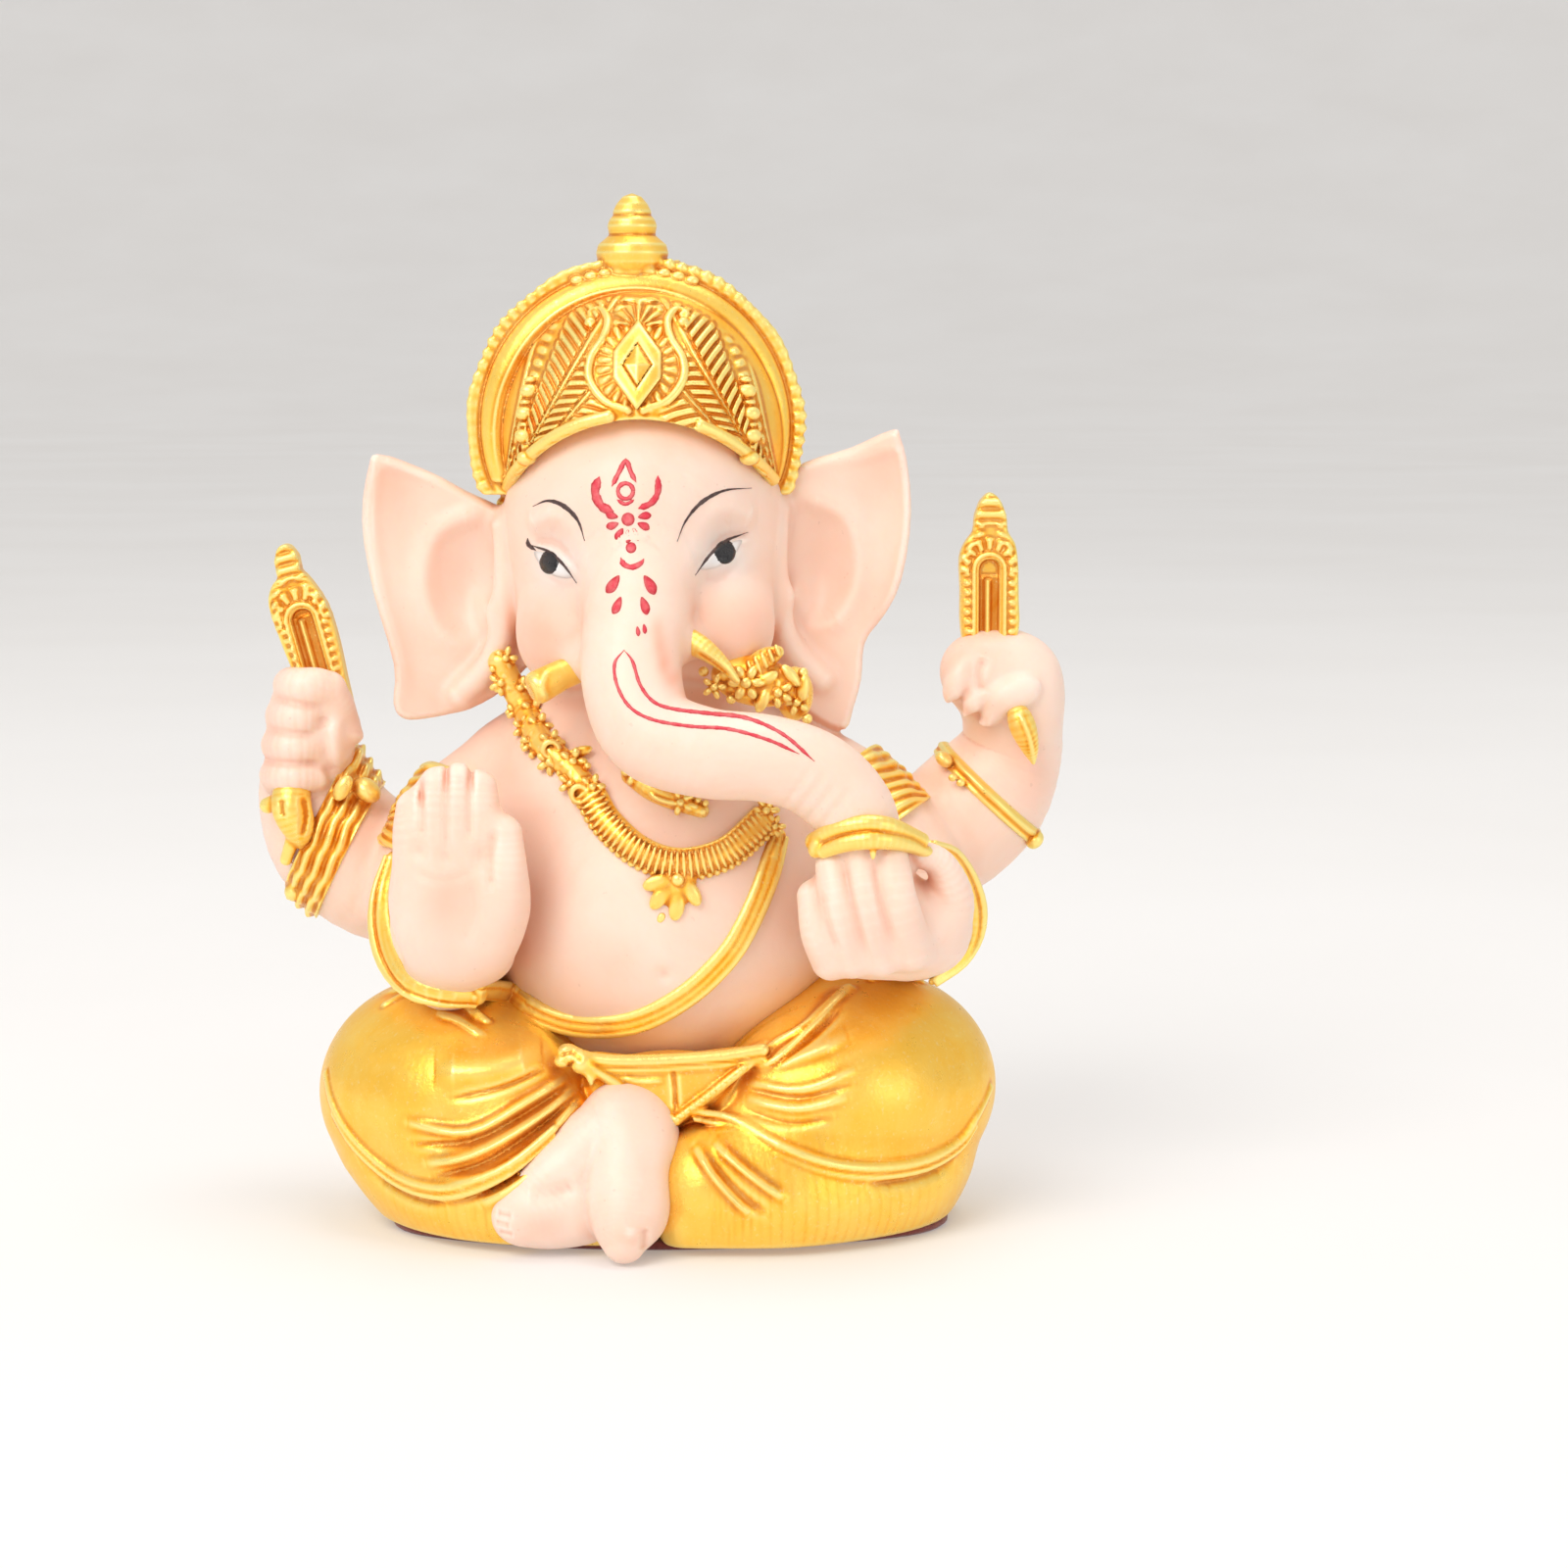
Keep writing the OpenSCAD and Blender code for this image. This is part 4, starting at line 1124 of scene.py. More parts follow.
def front_of(build, points):
    """Where lines along +Y through each (x, z) first meet a surface, and its normals."""
    points = np.asarray(points, float)
    p = np.c_[points[:, 0], np.full(len(points), MARCH_START), points[:, 1]]
    for _ in range(MARCH_STEPS):
        f = Field(p[:, None, :], 0.0)
        build(f)
        p[:, 1] += np.clip(f.d[:, 0] * 0.85, -1, 3)
    eps = 0.15
    f = Field(p[:, None, :] + TETRA * eps, eps)
    build(f)
    grad = (f.d[:, :, None] * TETRA).sum(1)
    return p, grad / np.maximum(np.linalg.norm(grad, axis=1, keepdims=True), 1e-6)


FLAT = {}


def lay(build, routes, back=0.0):
    """Lays named routes of (x, z) points on the front of a surface, no further back than a limit."""
    at, _ = front_of(build, np.concatenate([np.asarray(r, float)[:, :2] for r in routes.values()]))
    at[:, 1] = np.minimum(at[:, 1], back)
    start = 0
    for name, route in routes.items():
        FLAT[name] = at[start : start + len(route)]
        start += len(route)


# ---- lower garment ----
FOLD_WIDTH, FOLD_HEIGHT = 0.9, 1.35


def leg_folds(f, folds):
    for width, height, points in folds:
        f.fold(points, width * FOLD_WIDTH, height * FOLD_HEIGHT)


RIGHT_FOLDS = [
    (0.55, 0.55, [(-6.6, -20, 16.4), (-10.2, -20, 14.6), (-15.6, -19.5, 11.9), (-21.6, -17.5, 12.2)]),
    (0.5, -0.4, [(-6.4, -20, 15.4), (-10.2, -20, 13.4), (-15.6, -19.8, 10.8), (-21.0, -18.5, 10.2)]),
    (0.55, 0.6, [(-6.0, -20.5, 15.2), (-10.0, -20.5, 12.6), (-15.2, -20.2, 9.8), (-19.8, -19, 8.4)]),
    (0.45, -0.4, [(-5.8, -20.5, 14.4), (-9.8, -21, 11.6), (-14.6, -20.6, 8.7), (-19.0, -19.4, 7.2)]),
    (0.55, 0.55, [(-5.2, -21, 14.6), (-8.6, -21.5, 11.4), (-13.0, -21, 8.4), (-18.0, -19.6, 6.5)]),
    (0.45, -0.35, [(-5.0, -21, 13.6), (-8.2, -21.6, 10.4), (-12.0, -21.4, 7.6), (-16.2, -20.4, 5.2)]),
    (0.6, 0.5, [(-4.4, -21.4, 13.6), (-7.4, -22, 10.4), (-10.8, -22, 7.4), (-14.4, -21, 5.0)]),
    (0.4, -0.25, [(-8.6, -19, 17.2), (-12.6, -18.6, 15.8), (-17.2, -17.6, 14.8)]),
    (1.4, 0.5, [(-9, -18, 18.6), (-14, -17, 17.6), (-19, -15.6, 17.4)]),
    (0.4, 0.3, [(-25.4, -8.6, 22.6), (-21.6, -9.6, 23.6), (-17.4, -10.8, 22.8), (-14.6, -12, 21.2)]),
    (0.35, 0.22, [(-19.4, -12, 21.8), (-17.0, -12.6, 21.4), (-14.4, -13.6, 20.2)]),
]
LEFT_FOLDS = [
    (0.5, 0.5, [(5.6, -22, 10.6), (8.0, -22, 7.6), (10.8, -21.4, 4.6)]),
    (0.5, 0.45, [(7.4, -22, 11.0), (10.6, -21.8, 8.4), (14.0, -21, 6.0)]),
    (0.6, -0.3, [(6.8, -22.4, 9.6), (9.6, -22, 6.6), (12.4, -21.2, 4.6)]),
    (0.5, 0.24, [(10.6, -19.4, 16.0), (15.8, -18.6, 15.8), (20.8, -16.8, 17.6)]),
    (0.5, 0.24, [(10.4, -20, 14.6), (15.4, -19.6, 14.0), (20.0, -18.4, 15.0)]),
    (0.45, -0.18, [(10.6, -20, 15.4), (15.6, -19.4, 14.9), (20.6, -17.8, 16.2)]),
    (0.5, -0.18, [(10.0, -20.6, 13.6), (14.6, -20.6, 12.6), (18.8, -19.6, 13.2)]),
    (0.8, 0.4, [(10, -18.6, 17.6), (15, -17, 18.6), (20, -15, 20.4)]),
    (0.4, 0.3, [(11.9, -16, 17.6), (15.4, -14.6, 20.2), (18.6, -12.8, 22.8), (20.4, -11.6, 23.8)]),
    (0.35, 0.2, [(22.8, -10, 24.6), (25.4, -8.6, 24.6), (27.4, -7, 24.0)]),
    (0.35, -0.25, [(12.6, -16.4, 17.4), (16.2, -15, 19.8), (19.4, -13.2, 22.2)]),
]
HEM_RIGHT = [
    (-30.4, 15.0), (-29.4, 12.4), (-27.3, 9.6), (-23.8, 7.0), (-20.1, 6.1), (-16.3, 6.7), (-11.7, 9.0),
    (-7.6, 12.2),
]
HEM_LEFT = [
    (34.0, 13.6), (32.4, 11.1), (30.8, 9.2), (27.5, 8.0), (22.8, 8.0), (18.1, 8.9), (13.5, 10.7),
    (9.2, 12.7), (5.6, 13.4),
]
TOP_RIGHT = [(-24.6, 21.8), (-21.9, 22.9), (-18.4, 22.8), (-16.0, 22.2), (-14.4, 21.2)]
TOP_LEFT = [(22.6, 24.0), (25.0, 24.0), (27.4, 23.4)]
PLEAT_RIGHT = [(-4.9, 18.0), (-3.2, 16.9), (-1.0, 15.5), (1.4, 13.8), (3.8, 12.6)]
PLEAT_LEFT = [(20.2, 23.6), (16.2, 21.2), (13.2, 19.4), (10.2, 17.4), (6.8, 14.8), (3.8, 12.6)]
BELT = [(-5.2, 18.2), (-2.2, 17.9), (1.2, 17.9), (5.2, 18.1), (8.8, 18.4), (12.0, 18.9)]


def gusset():
    """The flat gusset between the thighs: a plate with rounded filling behind it."""
    outline = [
        (-5.6, 18.4), (-1.0, 18.3), (5.0, 18.5), (12.2, 19.2), (10.6, 17.4), (3.8, 11.8), (-1.2, 14.6),
    ]

    def middle(x, z):
        return -17.3 + 0.16 * (z - 12)

    plate = sheet(spline(outline, 2, closed=True), middle, lambda x: 1.2, 0.5)
    return ellipsoid((3.4, -13.8, 14.6), (8.8, 4.2, 3.7)), Shape(plate.fn, plate.lo - (0, 8, 0), plate.hi)


def seat(f):
    f.blob((2, 5, 11), (20.5, 14, 9.4))
    f.blob((2, 3, 4.6), (23, 15, 4.6), 3)
    for x, z in ((-10, 15), (13, 15.5)):
        f.blob((x, 5, z - 3), (10.5, 11.5, 8), 5)
    for i in range(7):
        x = -12 + 4.7 * i
        f.fold([(x * 0.72 + 1, 15, 17), (x + 1, 18.6, 11), (x * 1.12 + 1, 18.4, 4)], 0.9, 0.34, front=False)
    f.fold([(1, 16, 19), (1.4, 19.4, 12), (1.6, 19.4, 4)], 1.0, -0.7, front=False)


def right_leg(f):
    f.blob((-8.6, 3, 13.6), (10, 10, 9.4))
    f.blob((-19.2, -4.3, 12.6), (12.4, 12.4, 11.2), 7)
    f.blob((-14, -12.5, 12.5), (10, 7.2, 8.4), 4, (0, 12, 0))
    f.cord([(-20, -7, 7.4, 7.4), (-13, -13.4, 7.2, 7.2), (-4.5, -16.4, 7.4, 5.4)], 3, 12)
    f.cord([
        (-20.4, -2, 4.2, 5.4), (-18.4, -10.6, 4.0, 5.2), (-11, -16.4, 4.0, 4.6), (-4, -17.2, 3.8, 3.8),
    ], 3.5, 12)
    f.fold([(-31, -6, 7), (-24, -18, 3.6), (-14, -21, 3.2)], 2.2, 0.25)
    leg_folds(f, RIGHT_FOLDS)
    f.fold([(x, -16, z - 1.3) for x, z in HEM_RIGHT], 0.7, -0.4)
    f.cord([(-17.5, -12.2, 2.4, 2.3), (-10, -17.0, 2.4, 2.4), (-3, -18.4, 2.4, 2.2)], 1.5, 12)
    if "top_right" in FLAT:
        f.cord([(x, y + 0.1, z, 0.36) for x, y, z in FLAT["top_right"]], 0.35)


def left_leg(f):
    f.blob((12, 3, 14), (10, 10, 9.6))
    f.blob((22.2, -4.3, 13.2), (12.6, 12.4, 11.2), 7)
    f.blob((17.6, -12.5, 13), (10.5, 7.4, 8.6), 4, (0, -12, 0))
    f.cord([(23, -7, 7.6, 7.5), (15, -13.4, 7.2, 7.2), (7, -17, 6.8, 5.4)], 3, 12)
    f.cord([
        (26.4, -2, 4.4, 5.8), (23.4, -10.6, 4.2, 5.8), (15, -17.0, 4.2, 5.0), (7, -17.6, 4.0, 4.4),
    ], 3.5, 12)
    f.fold([(33.6, -6, 7), (27, -18, 3.8), (16, -21, 3.2)], 2.2, 0.25)
    leg_folds(f, LEFT_FOLDS)
    f.fold([(x, -16, z - 1.3) for x, z in HEM_LEFT], 0.7, -0.4)
    f.cord([(24, -11.6, 2.6, 2.5), (15, -18.0, 2.5, 2.5), (4.6, -19.4, 2.5, 2.4)], 1.5, 12)
    if "top_left" in FLAT:
        f.cord([(x, y + 0.1, z, 0.34) for x, y, z in FLAT["top_left"]], 0.35)


def hem(name):
    """A raised double hem along the front of a lower leg."""

    def form(f):
        route = FLAT[name]
        ends = np.clip(np.minimum(np.arange(len(route)), len(route) - 1 - np.arange(len(route))), 0, 2) / 2
        f.cord([(x, y + 0.12, z, 0.34 + 0.16 * e) for (x, y, z), e in zip(route, ends)], 0, 4)
        f.cord([
            (x, y + 0.1, z - 0.8, 0.26 + 0.12 * e) for (x, y, z), e in zip(route[1:], ends[1:])
        ], 0.3, 4)

    return form


def front_pleat(f):
    """The gusset with its edge cords and middle crease."""
    filling, plate = gusset()
    f.add(filling)
    f.add(plate, 0.8)
    f.fold([(3.5, -19, 17.4), (3.7, -19.2, 15.4), (3.8, -19.2, 13.4)], 0.3, -0.3)
    f.fold([(-1.6, -18.6, 16.6), (0.8, -19, 16.2), (2.6, -19, 16.4)], 0.25, 0.12)
    for name in ("pleat_right", "pleat_left"):
        f.cord([(x, y - 0.05, z, 0.42) for x, y, z in FLAT[name]], 0.35)
        for c in evenly(FLAT[name][-3:] + (0, -0.35, 0.15), 0.62):
            f.blob(c, (0.3, 0.26, 0.26), 0.12)


def waist_belt(f):
    f.cord([(x, y + 0.15, z + 0.2, 0.62) for x, y, z in FLAT["belt"]])
    f.cord([(x, y + 0.05, z - 0.55, 0.34) for x, y, z in FLAT["belt"]], 0.2)


def belt_knot(f):
    f.blob((-6.2, -16.8, 18.6), (1.3, 1.2, 0.9), 0, (0, 25, 0))
    f.blob((-5.2, -17.6, 17.8), (0.9, 1.0, 0.9), 0.6)
    f.blob((-7.0, -16.9, 17.9), (0.8, 0.9, 0.6), 0.6)
    f.cord([(-5.0, -17.6, 17.6, 0.5), (-4.4, -18.0, 16.8, 0.4), (-4.2, -18.2, 16.0, 0.2)], 0.4)
    f.fold([(-7.2, -18.2, 18.6), (-6.0, -18.6, 18.9), (-4.9, -18.6, 18.2)], 0.25, -0.3)
    f.fold([(-6.4, -18.2, 17.6), (-5.8, -18.6, 18.2)], 0.2, -0.2)


CLOTH_PARTS = [
    ("dhoti_seat", seat, 0),
    ("dhoti_right_leg", right_leg, 2.2),
    ("dhoti_left_leg", left_leg, 2.2),
    ("front_pleat", front_pleat, 0.7),
    ("dhoti_hem_right", hem("hem_right"), 0.4),
    ("dhoti_hem_left", hem("hem_left"), 0.4),
    ("waist_belt", waist_belt, 0.3),
    ("belt_knot", belt_knot, 0.8),
]


def legs(f):
    """The garment's large forms with the torso, for laying its cords on."""
    f.join_all([(form.__name__, form, 1.5) for form in (torso, seat, right_leg, left_leg)])
    for form in gusset():
        f.add(form, 0.7)


def lay_cords():
    names = ("hem_right", "hem_left", "top_right", "top_left", "pleat_right", "pleat_left", "belt")
    lay(legs, dict(zip(names, (HEM_RIGHT, HEM_LEFT, TOP_RIGHT, TOP_LEFT, PLEAT_RIGHT, PLEAT_LEFT, BELT))))


def cloth(f):
    f.join_all(CLOTH_PARTS, PAD_TOP)


# ---- crown ----
RIDGE_C = (-0.4, 0.5, 77.4)
RIDGE_R = 16.6
SCALLOPS = 84
PANEL_C = (0.3, 1.0, 76.4)
PANEL_R = (14.0, 14.2, 14.6)
BROW_Z, BROW_R = 63.2, 15.1


def panel_at(x, z):
    """The front panel's skin at a given X and Z."""
    inside = 1 - ((x - PANEL_C[0]) / PANEL_R[0]) ** 2 - ((z - PANEL_C[2]) / PANEL_R[2]) ** 2
    return PANEL_C[1] - PANEL_R[1] * np.sqrt(np.maximum(inside, 0.02))


def on_panel(points, r, lift=0.0):
    return [(x, float(panel_at(x, z)) - lift, z, r) for x, z in points]


def mirrored(points):
    return [(-x + 0.2, z) for x, z in points]


def above_brow(f):
    """Keeps what is above the brow line, which rises to the middle of the forehead."""
    x, z = f.p[..., 0] - 0.3, f.p[..., 2]
    arc = BROW_R - np.sqrt(x * x + (z - BROW_Z) ** 2)
    f.d = smax(smax(f.d, arc, 0.2), 69.0 - z, 0.3)


def crown_cap(f):
    f.blob((0, 4.5, 77.6), (15.4, 13, 16.2))
    f.d = smax(f.d, 68.8 - f.p[..., 2], 0.6)
    f.d = smax(f.d, (RIDGE_C[1] - 1) - f.p[..., 1], 0.3)
    # rows of low scales on the back, and a plain border
    q = f.p - arr((0, 4.5, 77.6))
    up = np.arctan2(q[..., 2], np.sqrt(q[..., 0] ** 2 + q[..., 1] ** 2))
    around = np.arctan2(q[..., 0], q[..., 1] + 6)
    row = up * 9
    scale = np.cos(row * np.pi) ** 2 * (0.5 + 0.5 * np.cos(around * 22 + np.pi * np.floor(row)))
    keep = np.clip((f.p[..., 2] - 71.5) / 0.6, 0, 1) * np.clip((f.p[..., 1] - 3.2) / 0.6, 0, 1)
    f.d -= np.where(np.abs(f.d) < 2, 0.22 * scale * keep, 0)
    for r, z in ((0.75, 69.7), (0.5, 71.0)):
        route = [(13.7 * math.sin(a), 4.5 + 11.4 * math.cos(a), z, r) for a in np.linspace(-1.7, 1.7, 13)]
        f.cord(route, 0.3, 3)


def from_wheel(f):
    """Points measured from the wheel's middle, and their distance from its axis."""
    x, y, z = f.p[..., 0] - RIDGE_C[0], f.p[..., 1] - RIDGE_C[1], f.p[..., 2] - RIDGE_C[2]
    return x, y, z, np.sqrt(x * x + z * z)


def crown_ridge(f):
    """A wheel with a finely notched rim and short radial grooves on its outer strip."""
    x, y, z, rho = from_wheel(f)
    a = np.arctan2(x, z)
    beat = 0.5 + 0.5 * np.cos(a * SCALLOPS + 0.9 * np.sin(a * 7))
    outer = rho - (RIDGE_R - 0.2 + 0.06 * beat * (1 + 0.7 * np.sin(a * 5)) + 0.10 * np.sin(a * 13 + 1))
    d = smax(outer, np.abs(y) - 2.2, 0.5)
    strip = np.clip((rho - RIDGE_R + 1.35) / 0.25, 0, 1)
    lip = 0.16 * np.exp(-(((rho - RIDGE_R + 1.5) / 0.3) ** 2))
    d = d - np.where(np.abs(d) < 2, 0.09 * (beat - 0.5) * (1 + 0.6 * np.sin(a * 5)) * strip - lip, 0)
    d = smax(d, (RIDGE_C[2] - 6.6) - f.p[..., 2], 0.4)
    f.d = np.minimum(f.d, d)


def crown_band(f):
    """The smooth lip between the wheel and the panel, which overhangs the panel's top."""
    _, y, z, rho = from_wheel(f)
    taper = np.clip((z + 7.5) / 13, 0.15, 1)
    half = 1.1 + 0.8 * taper
    middle = RIDGE_R - 1.6 - half
    depth = 1.0 + 0.6 * taper
    d = (np.sqrt(((rho - middle) / half) ** 2 + ((y + 2.0) / depth) ** 2) - 1) * np.minimum(half, depth)
    # a fine line along the middle of the lip, and a step where it meets the panel
    line = 0.2 * np.exp(-(((rho - middle - 0.15) / 0.2) ** 2))
    groove = 0.22 * np.exp(-(((rho - middle + 0.75) / 0.22) ** 2))
    d = d - np.where((np.abs(d) < 1.5) & (y < -1.5), (line - groove) * np.clip(taper - 0.2, 0, 1), 0)
    d = smax(d, (RIDGE_C[2] - 5.4) - f.p[..., 2], 0.4)
    f.d = np.minimum(f.d, d)


def fan(x, z, side):
    """Distance from the fan's pivot at the temple, and the angle up from the brow side, in degrees."""
    dx, dz = side * 13.6 - (x - 0.2), z - 70.4
    return np.hypot(dx, dz), np.degrees(np.arctan2(dz, side * dx))


def crown_panel(f):
    f.blob(PANEL_C, PANEL_R)
    x, z = f.p[..., 0], f.p[..., 2]
    relief = np.zeros(f.d.shape, np.float32)
    for side in (-1, 1):
        r, a = fan(x, z, side)
        mine = (side * (x - 0.2) > 0) & (f.p[..., 1] < 1)
        ribs = np.zeros_like(relief)
        for lo, hi, period, slant, height in (
            (24, 33, 1.25, 0.07, 0.3), (35, 47.5, 1.15, 0.05, 0.38), (50, 58.5, 1.05, 0.06, 0.42),
            (60.5, 69.5, 1.05, -0.05, 0.44),
        ):
            inside = np.clip((a - lo) / 0.9, 0, 1) * np.clip((hi - a) / 0.9, 0, 1)
            rib = 0.5 + 0.5 * np.cos((r + slant * (a - lo) * 3) * 2 * np.pi / period)
            ribs += inside * height * np.clip(rib * 1.5, 0, 1)
        beads = np.exp(-(((a - 73.4) / 2.0) ** 2)) * (0.5 + 0.5 * np.cos(r * 2 * np.pi / 1.25)) * 0.36
        stems = 0.3 * np.exp(-(((a - 59.5) / 0.75) ** 2)) + 0.3 * np.exp(-(((a - 48.8) / 0.75) ** 2))
        edge = 0.26 * np.exp(-(((a - 77.5) / 1.0) ** 2))
        fade = np.clip((r - 1.2) / 2, 0, 1)
        relief += np.where(mine, (ribs + beads + stems + edge) * fade, 0)
    # the middle of the panel is left smooth for the jewel and its scrolls
    mid = np.hypot((x - 0.2) / 4.6, (z - 83.6) / 5.6)
    relief = relief * np.clip((mid - 0.95) / 0.15, 0, 1)
    a = np.arctan2(x - 0.2, z - 83.4)
    petal_r = np.hypot(x - 0.2, (z - 83.4) * 0.8)
    petals = np.exp(-(((petal_r - 3.2) / 0.55) ** 2)) * (0.5 + 0.5 * np.cos(a * 22)) * 0.34
    shell_r = np.hypot(x - 0.2, z - 86.9)
    shell_a = np.arctan2(x - 0.2, z - 86.9)
    shell = np.exp(-(((shell_r - 1.6) / 0.9) ** 2)) * (0.6 + 0.4 * np.cos(shell_a * 14)) * 0.5
    shell = shell * np.clip((z - 86.9) / 0.4, 0, 1)
    leaves = np.exp(-(((np.hypot((np.abs(x - 0.2) - 2.2) / 1.5, (z - 79.3) / 0.7)) / 0.8) ** 2)) * 0.35
    front = f.p[..., 1] < 1
    relief += np.where(front, petals + shell + leaves, 0)
    top = np.clip(
        (np.hypot(x - RIDGE_C[0], z - RIDGE_C[2]) - 12.3) / 0.4, 0, 1,
    ) * np.clip((z - 80) / 2, 0, 1)
    relief = relief * (1 - top)
    f.d -= np.where(np.abs(f.d) < 2.5, relief, 0)
    f.d = smax(f.d, f.p[..., 1] - RIDGE_C[1], 0.3)
    above_brow(f)


def crown_rim(f):
    angles = np.radians(np.arange(-58, 59, 8))
    route = [(0.3 + (BROW_R + 0.55) * math.sin(a), BROW_Z + (BROW_R + 0.55) * math.cos(a)) for a in angles]
    # a stretch of the band is missing left of the middle, where the paint has gone
    f.cord([p for p in on_panel(route, 0.62, 0.15) if p[0] < -1.0])
    f.cord([p for p in on_panel(route, 0.62, 0.15) if p[0] > 4.4])


SCROLL = [
    (0.8, 79.2), (3.0, 80.0), (4.5, 82.0), (4.4, 84.0), (3.3, 85.8), (2.9, 87.4), (3.6, 88.5),
    (4.6, 88.2), (4.5, 87.3),
]


def scroll(points):
    def form(f):
        line = on_panel(points, 0.42, 0.12)
        f.cord(line, 0, 6)
        x, y, z, _ = line[-1]
        f.blob((x - 0.1, y - 0.2, z), (0.55, 0.5, 0.55), 0.2)

    return form


BEADS = [(10.7, 74.6), (10.9, 76.7), (10.8, 78.8), (10.4, 80.9)]


def bead_column(points):
    def form(f):
        for x, y, z, _ in on_panel(points, 1, 0.3):
            f.blob((x, y, z), (0.95, 0.9, 0.72), 0.1)
            f.blob((x * 0.99, y + 0.2, z + 1.05), (0.62, 0.6, 0.35), 0.12)

    return form


JEWEL = (0.2, 83.4)


def diamond(f, half_x, half_z, thick, lift, hexagon):
    """A faceted plate on the panel, seen from the front as a diamond or a long hexagon."""
    x, z = np.abs(f.p[..., 0] - JEWEL[0]), np.abs(f.p[..., 2] - JEWEL[1])
    n = math.hypot(half_x, half_z)
    edge = (x * half_z + z * half_x - half_x * half_z * (1.32 if hexagon else 1.0)) / n
    if hexagon:
        edge = smax(edge, x - half_x * 0.94, 0.1)
    face = panel_at(f.p[..., 0], f.p[..., 2]) - f.p[..., 1] - lift
    return smax(edge, np.abs(face) - thick, 0.25)


def jewel_frame(f):
    d = diamond(f, 2.4, 3.2, 0.8, 0.1, True)
    d = smax(d, -diamond(f, 1.42, 2.15, 3.0, 0.1, False), 0.2)
    f.d = np.where(f.p[..., 1] < 0, np.minimum(f.d, d), f.d)


def jewel(f):
    d = diamond(f, 1.3, 2.0, 0.6, 0.2, False)
    x, z = np.abs(f.p[..., 0] - JEWEL[0]), np.abs(f.p[..., 2] - JEWEL[1])
    d = d - 0.3 * np.clip(1 - x / 1.15 - z / 1.85, 0, 1)
    f.d = np.where(f.p[..., 1] < 0, np.minimum(f.d, d), f.d)


FINIAL = [
    (0, 91.4), (2.8, 91.4), (3.0, 92.4), (
        3.35, 93.2,
    ), (3.5, 94.1), (3.3, 94.9), (2.6, 95.5), (2.25, 95.8), (2.3, 96.2),
    (2.4, 96.7), (2.2, 97.3), (1.85, 97.7), (1.85, 98.1), (1.5, 98.8), (0.9, 99.5), (0, 99.85),
]


def lathe(profile, c):
    """A turned form round a vertical axis: profile is (radius, z)."""
    outline = np.array(profile + [(-r, z) for r, z in reversed(profile[1:-1])])

    def fn(p):
        rho = np.hypot(p[..., 0] - c[0], p[..., 1] - c[1])
        return polygon_distance(rho, p[..., 2], outline)

    r, z = max(p[0] for p in profile), [p[1] for p in profile]
    return Shape(fn, (c[0] - r, c[1] - r, min(z)), (c[0] + r, c[1] + r, max(z)))


def crown_finial(f):
    f.add(lathe(FINIAL, (RIDGE_C[0] - 0.3, RIDGE_C[1] - 0.2)))
    for i in range(9):
        a = math.radians(-80 + 20 * i)
        x = RIDGE_C[0] + (RIDGE_R + 0.1) * math.sin(a * 0.24)
        z = RIDGE_C[2] + (RIDGE_R + 0.1) * math.cos(a * 0.24) - 2.0
        f.blob((x, RIDGE_C[1] - 2.4, z + 0.2), (0.7, 0.6, 0.5), 0.35)


CROWN_PARTS = [
    ("crown_cap", crown_cap, 0),
    ("crown_ridge", crown_ridge, 0.15),
    ("crown_band", crown_band, 0.1),
    ("crown_panel", crown_panel, 0.1),
    ("crown_rim", crown_rim, 0.15),
    ("crown_scroll_right", scroll(mirrored(SCROLL)), 0.12),
    ("crown_scroll_left", scroll(SCROLL), 0.12),
    ("crown_beads_right", bead_column(mirrored(BEADS)), 0.12),
    ("crown_beads_left", bead_column(BEADS), 0.12),
    ("crown_jewel_frame", jewel_frame, 0.1),
    ("crown_jewel", jewel, 0.15),
    ("crown_finial", crown_finial, 0.15),
]


def crown(f):
    f.join_all(CROWN_PARTS)


# ---- ornaments ----
def slide(route, off):
    """A route [x, y, z] moved sideways, as seen from the front."""
    route = np.asarray(route, float)
    t = np.gradient(route[:, [0, 2]], axis=0)
    t /= np.maximum(np.linalg.norm(t, axis=1, keepdims=True), 1e-6)
    out = route.copy()
    off = np.broadcast_to(np.asarray(off, float), (len(route),))
    out[:, 0] -= t[:, 1] * off
    out[:, 2] += t[:, 0] * off
    return out


def thick_line(route, radii):
    route = np.asarray(route, float)
    radii = np.broadcast_to(np.asarray(radii, float), (len(route),))
    return [tuple(p[:3]) + (float(r),) for p, r in zip(route, radii)]


def evenly(route, step):
    """Points along a route about one step apart."""
    line = spline(route, 12)[:, :3]
    length = np.r_[0, np.cumsum(np.linalg.norm(np.diff(line, axis=0), axis=1))]
    at = np.linspace(0, length[-1], max(2, int(round(length[-1] / step)) + 1))
    return np.stack([np.interp(at, length, line[:, i]) for i in range(3)], 1)


def flower(f, c, r, tilt, petals=6, seed=0):
    """A small rosette that faces the front."""
    c = np.asarray(c, float)
    for i in range(petals):
        a = 2 * math.pi * (i + 0.5 * (seed % 2)) / petals
        at = c + np.array([math.cos(a) * r * 0.6, 0.12, math.sin(a) * r * 0.6])
        f.blob(at, (r * 0.44, 0.42, r * 0.27), 0.12, (0, -math.degrees(a), tilt))
    f.blob(c - (0, 0.25, 0), (r * 0.3, 0.34, r * 0.3), 0.06)


